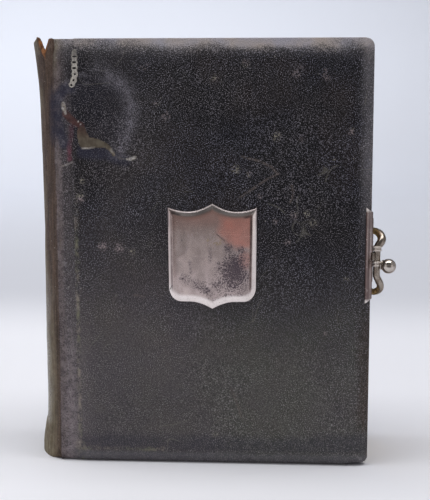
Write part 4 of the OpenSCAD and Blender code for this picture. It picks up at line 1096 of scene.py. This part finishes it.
def knob():
    R = KNOB_D / 2
    prof = [(0.0, 1.2), (1.0, 1.2), (1.0, 1.78), (1.55, 1.82), (1.78, 1.95), (1.82, 2.1), (1.72, 2.25), (1.45, 2.33)]
    start = math.asin(1.45 / R)
    for a in np.linspace(math.pi - start, 0.28, 22):
        prof.append((R * math.sin(a), KNOB_FAR + R * math.cos(a)))
    prof += [(R * math.sin(0.22), KNOB_FAR + R * math.cos(0.28) - 0.03), (0.35, KNOB_FAR + R * math.cos(0.28) + 0.02), (0.0, KNOB_FAR + R * math.cos(0.28) + 0.05)]
    ob = revolve("thumb_ball", prof, [M_KNOB], 48)
    turn = KNOB_DIR.to_track_quat("Z", "Y").to_matrix().to_4x4()
    ob.data.transform(Matrix.Translation(Vector(((XF + BAR_U) * 0.001, (YF + BAR_V) * 0.001, RING_LO * 0.001))) @ turn)
    # painted dark reflections: a ring short of the outline and a spot in the middle of the face
    v = np.array([q.co for q in ob.data.vertices]) * 1000
    mid = np.array([XF + BAR_U, YF + BAR_V, RING_LO]) + np.array(KNOB_DIR) * KNOB_FAR
    q = (v - mid) / R
    face = np.hypot(q[:, 0], q[:, 2])
    fuzz = (fbm(v[:, 0], v[:, 2], 1.1, 401) - 0.5)
    ring = smooth(0.10, 0.03, np.abs(face - 0.74 + 0.05 * fuzz)) * smooth(0.5, -0.4, q[:, 0] + 0.7 * q[:, 2])
    spot = smooth(0.36, 0.12, np.hypot(q[:, 0] - 0.05, (q[:, 2] - 0.06) * 1.5) + 0.4 * fuzz)
    attr(ob, "smudge", np.clip(np.maximum(0.8 * ring, 0.7 * spot) * (q[:, 1] < 0), 0, 1))
    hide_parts("thumb_knob")
    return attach(ob, "bow")


bow_ob, rings_ob, knob_ob = bow(), collars(), knob()


# ------------------------------------------------------------------ leaves
LX0, LX1 = XAX + 8, XF - 4.5
LZ0, LZ1 = 3.5, H - 3.5
LMID = (LX0 + LX1) / 2 + 1
WZ0, WH, WW = H / 2 - 44 + 1, 88.0, 54.0


def rounded(x0, x1, z0, z1, r, n=6):
    pts = []
    for cx, cz, a0 in ((x1 - r, z1 - r, 0), (x0 + 0.4, z1 - 0.4, 90), (x0 + 0.4, z0 + 0.4, 180), (x1 - r, z0 + r, 270)):
        rr = r if cx > x0 + 1 else 0.4
        for k in range(n + 1):
            a = math.radians(a0 + 90 * k / n)
            pts.append((cx + rr * math.cos(a), cz + rr * math.sin(a)))
    return pts


def arch(grow, n=10):
    """The window's outline, wider by grow."""
    a, k = WW / 2, WH - 16
    pts = [(LMID - a - grow, WZ0 - grow), (LMID + a + grow, WZ0 - grow), (LMID + a + grow, WZ0 + k)]
    for i in range(1, n * 2):
        t = math.pi * i / (2 * n)
        pts.append((LMID + (a + grow) * math.cos(t), WZ0 + k + (16 + grow) * math.sin(t)))
    return pts + [(LMID - a - grow, WZ0 + k)]


def leaf_mesh():
    """One leaf, about the middle of its thickness: a card face with a bevelled
    window on each side, the pocket's back behind it, gilt edges and a gilt
    line round each window."""
    bm = bmesh.new()
    t = LEAF_T / 2
    outer = rounded(LX0, LX1, LZ0, LZ1, 3.0)
    win0, win1 = arch(0.42), arch(-0.12)
    line_a, line_b = arch(2.1), arch(2.55)
    line_c, line_d = arch(3.2), arch(3.38)
    mm = 0.001
    ring = lambda pts, y: [bm.verts.new((x * mm, y * mm, z * mm)) for x, z in pts]

    def band(a, b, mat, flip=False):
        for i in range(len(a)):
            j = (i + 1) % len(a)
            f = bm.faces.new((a[i], b[i], b[j], a[j]) if flip else (a[j], b[j], b[i], a[i]))
            f.material_index = mat

    def fill(loops, mat):
        edges = []
        for lp in loops:
            for i in range(len(lp)):
                e = bm.edges.get((lp[i], lp[(i + 1) % len(lp)])) or bm.edges.new((lp[i], lp[(i + 1) % len(lp)]))
                edges.append(e)
        made = bmesh.ops.triangle_fill(bm, use_beauty=True, use_dissolve=False, edges=edges)
        for g in made["geom"]:
            if isinstance(g, bmesh.types.BMFace):
                g.material_index = mat

    rims = {}
    for s in (-1, 1):
        o_face = ring(outer, s * (t - 0.0))
        o_edge = ring([(LX0 + (x - LX0) * 1.0 + (0.12 if x > LMID else -0.0), z + (0.12 if z > H / 2 else -0.12)) for x, z in outer], s * (t - 0.22))
        w_top, w_low = ring(win0, s * t), ring(win1, s * (t - 0.5))
        la, lb, lc, ld = (ring(q, s * t) for q in (line_a, line_b, line_c, line_d))
        fill([o_face, ld], 0)
        band(ld, lc, 1)
        band(lc, lb, 0)
        band(lb, la, 1)
        band(la, w_top, 0)
        band(w_top, w_low, 1)
        back = ring(win1, s * 0.12)
        band(w_low, back, 2)
        bm.faces.new(back).material_index = 2
        band(o_edge, o_face, 1)
        rims[s] = o_edge
    band(rims[-1], rims[1], 1)
    bmesh.ops.recalc_face_normals(bm, faces=bm.faces)
    me = bpy.data.meshes.new("leaf_card")
    bm.to_mesh(me)
    bm.free()
    for m in (M_CARD, M_GILT, M_BACKCARD):
        me.materials.append(m)
    return me


leaf_data = leaf_mesh()
for i in range(NLEAF):
    tag = "%02d" % (i + 1)
    me = leaf_data.copy()
    me.transform(Matrix.Translation((0, leaf_y(i) * 0.001, 0)))
    me.name = "page_card_" + tag
    ob = bpy.data.objects.new("page_card_" + tag, me)
    bpy.context.scene.collection.objects.link(ob)
    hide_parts("leaf_" + tag)
    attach(ob, "page_" + tag)
    # cloth that hinges it, from the guard to the leaf
    xs = np.concatenate([np.linspace(XAX - 0.4, XAX + 3.5, 14), np.linspace(XAX + 4.2, XAX + 9.0, 6)])
    zs = np.linspace(LZ0 + 1, LZ1 - 1, 40)
    side = []
    for s in (1, -1):
        side.append([(x, leaf_y(i) + s * 0.19 + 0.05 * math.sin((x - XAX) * 1.6 + i), z) for z in zs for x in xs])
    k = len(xs) * len(zs)
    verts = side[0] + side[1]
    faces = grid_faces(len(zs), len(xs), flip=True) + grid_faces(len(zs), len(xs), k)
    cols, rows = len(xs), len(zs)
    edge = [j for j in range(cols)] + [a * cols + cols - 1 for a in range(1, rows)] + [(rows - 1) * cols + j for j in range(cols - 2, -1, -1)] + [a * cols for a in range(rows - 2, 0, -1)]
    for a, b in zip(edge, edge[1:] + edge[:1]):
        faces.append((a, b, k + b, k + a))
    ob = make("page_cloth_" + tag, verts, faces, [M_CLOTH])
    mend(ob)
    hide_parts("leaf_hinge_" + tag)
    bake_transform(ob)


# ------------------------------------------------------------------ CAD nodes kept
def dress(node, mat, bevel=None):
    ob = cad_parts[node]
    for s in ob.material_slots:
        s.material = mat
    if not ob.material_slots:
        ob.data.materials.append(mat)
    if bevel:
        b = ob.modifiers.new("soft_edges", "BEVEL")
        b.width, b.segments, b.limit_method, b.angle_limit = bevel * 0.001, 2, "ANGLE", math.radians(28)
        b.harden_normals = False


for side in ("front", "back"):
    dress(side + "_board", M_BOARD)
    dress(side + "_pastedown", M_ENDPAPER)
    dress(side + "_clasp_plate", M_PLATE, 0.16)
    dress(side + "_plate_rivets", M_STEEL)
dress("clasp_hinge_pin", M_STEEL, 0.08)
dress("spine_lining", M_GUARD)
dress("spine_linen", M_CLOTH)
dress("leaf_guards", M_GUARD)
dress("shield_pins", M_STEEL)
dress("catch_jaw", M_BRASS, 0.08)
dress("bow_barrels", M_BRASS, 0.1)


# ------------------------------------------------------------------ stage
def backdrop():
    m = Mat("paper_sweep")
    f = m.noise(6, 4, 0.5)
    up = m.node("ShaderNodeSeparateXYZ")
    m.link(m.co, up.inputs[0])
    # painted light fall-off on the paper: paler to the left and near the album, darker further back, and a mid grey up
    # the wall
    near = m.mix(m.ramp(up.outputs[0], (XF - 130) * 0.001, (XF + 20) * 0.001), (0.875, 0.888, 0.942), (0.815, 0.828, 0.882))
    paper_and_falloff_tone = m.mix(m.ramp(up.outputs[1], 0.17, 0.33), near, (0.615, 0.630, 0.682))
    paper_and_falloff_tone = m.mix(m.ramp(up.outputs[2], 0.0, 0.2), paper_and_falloff_tone, (0.685, 0.706, 0.765))
    mat = m.done(m.mix(m.ramp(f, 0.3, 0.7, 0.0, 0.03), paper_and_falloff_tone, (0.5, 0.5, 0.5)), 0.9, m.bump(m.noise(900, 3), 0.1, 0.0001), Specular_IOR_Level=0.2)
    prof = [(-0.43, 0.0), (0.0, 0.0), (0.4, 0.0), (1.0, 0.0)] + [(1.0 + 0.35 * math.sin(a), 0.35 - 0.35 * math.cos(a)) for a in np.linspace(0.05, math.pi / 2, 18)] + [(1.35, 2.2)]
    xs = np.linspace(-2.5, 2.5, 21)
    verts = [(x * 1000, y * 1000, z * 1000) for y, z in prof for x in xs]
    ob = make("sweep", verts, grid_faces(len(prof), len(xs)), [mat])


backdrop()


def area(name, loc, target, size, power, color=(1, 1, 1), size_y=None, spread=180):
    l = bpy.data.lights.new(name, "AREA")
    l.energy, l.color, l.size, l.spread = power, color, size, math.radians(spread)
    if size_y:
        l.shape, l.size_y = "RECTANGLE", size_y
    ob = bpy.data.objects.new(name, l)
    ob.location = loc
    ob.rotation_euler = (Vector(target) - Vector(loc)).to_track_quat("-Z", "Y").to_euler()
    bpy.context.scene.collection.objects.link(ob)
    return ob


area("key_top", (-0.09, -0.08, 0.95), (-0.09, -0.08, 0.0), 1.3, 8.9, (1.0, 0.99, 0.985), 0.45)
area("back_wash", (-0.50, 0.72, 1.20), (-0.26, 1.35, 0.15), 1.2, 6.1, (0.94, 0.965, 1.0), 0.8, 105)

# a room that is grey behind the camera, pale to the left and right of it, and
# dark overhead and at the far sides
world = bpy.data.worlds.new("room")
bpy.context.scene.world = world
world.use_nodes = True
wt = world.node_tree
co = wt.nodes.new("ShaderNodeTexCoord")
xyz = wt.nodes.new("ShaderNodeSeparateXYZ")
wt.links.new(co.outputs["Generated"], xyz.inputs[0])


def wmath(op, a, b=0.0):
    n = wt.nodes.new("ShaderNodeMath")
    n.operation = op
    for v, sock in zip((a, b), n.inputs):
        if isinstance(v, bpy.types.NodeSocket):
            wt.links.new(v, sock)
        else:
            sock.default_value = v
    return n.outputs[0]


def wramp(v, lo, hi, a, b):
    n = wt.nodes.new("ShaderNodeMapRange")
    n.interpolation_type = "SMOOTHSTEP"
    wt.links.new(v, n.inputs[0])
    for k, q in enumerate((lo, hi, a, b)):
        n.inputs[k + 1].default_value = q
    return n.outputs[0]


across = wmath("ABSOLUTE", xyz.outputs[0])
dip = wramp(across, 0.08, 0.30, 0.36, 0.20)
pale_side = wramp(across, 0.38, 0.70, 0.0, 0.60)
fall = wramp(across, 0.80, 0.97, 1.0, 0.42)
overhead = wramp(xyz.outputs[2], 0.18, 0.50, 1.0, 0.42)
room = wmath("MULTIPLY", wmath("MULTIPLY", wmath("ADD", dip, pale_side), fall), overhead)
wt.links.new(room, wt.nodes["Background"].inputs["Strength"])
wt.nodes["Background"].inputs["Color"].default_value = (1.0, 0.97, 0.98, 1)
bpy.context.scene.view_settings.view_transform = "Standard"
bpy.context.scene.view_settings.look = "None"

# ------------------------------------------------------------------ camera
cam = bpy.data.cameras.new("photo_camera")
cam.sensor_fit, cam.sensor_height, cam.sensor_width = "VERTICAL", 36.0, 36.0
cam.lens = 1125.4 * 36 / 500
cam.clip_start, cam.clip_end = 0.01, 20
cam_ob = bpy.data.objects.new("photo_camera", cam)
bpy.context.scene.collection.objects.link(cam_ob)
look = Vector((-0.060895, 0.987138, -0.147809)).normalized()
right = Vector((0.998102, 0.061597, -0.00157))
right = (right - look * right.dot(look)).normalized()
up = right.cross(look)
rot = Matrix((right, up, -look)).transposed()
cam_ob.matrix_world = Matrix.Translation(((XF - 30.63) * 0.001, (YF - 391.08) * 0.001, 0.13700)) @ rot.to_4x4()
bpy.context.scene.camera = cam_ob
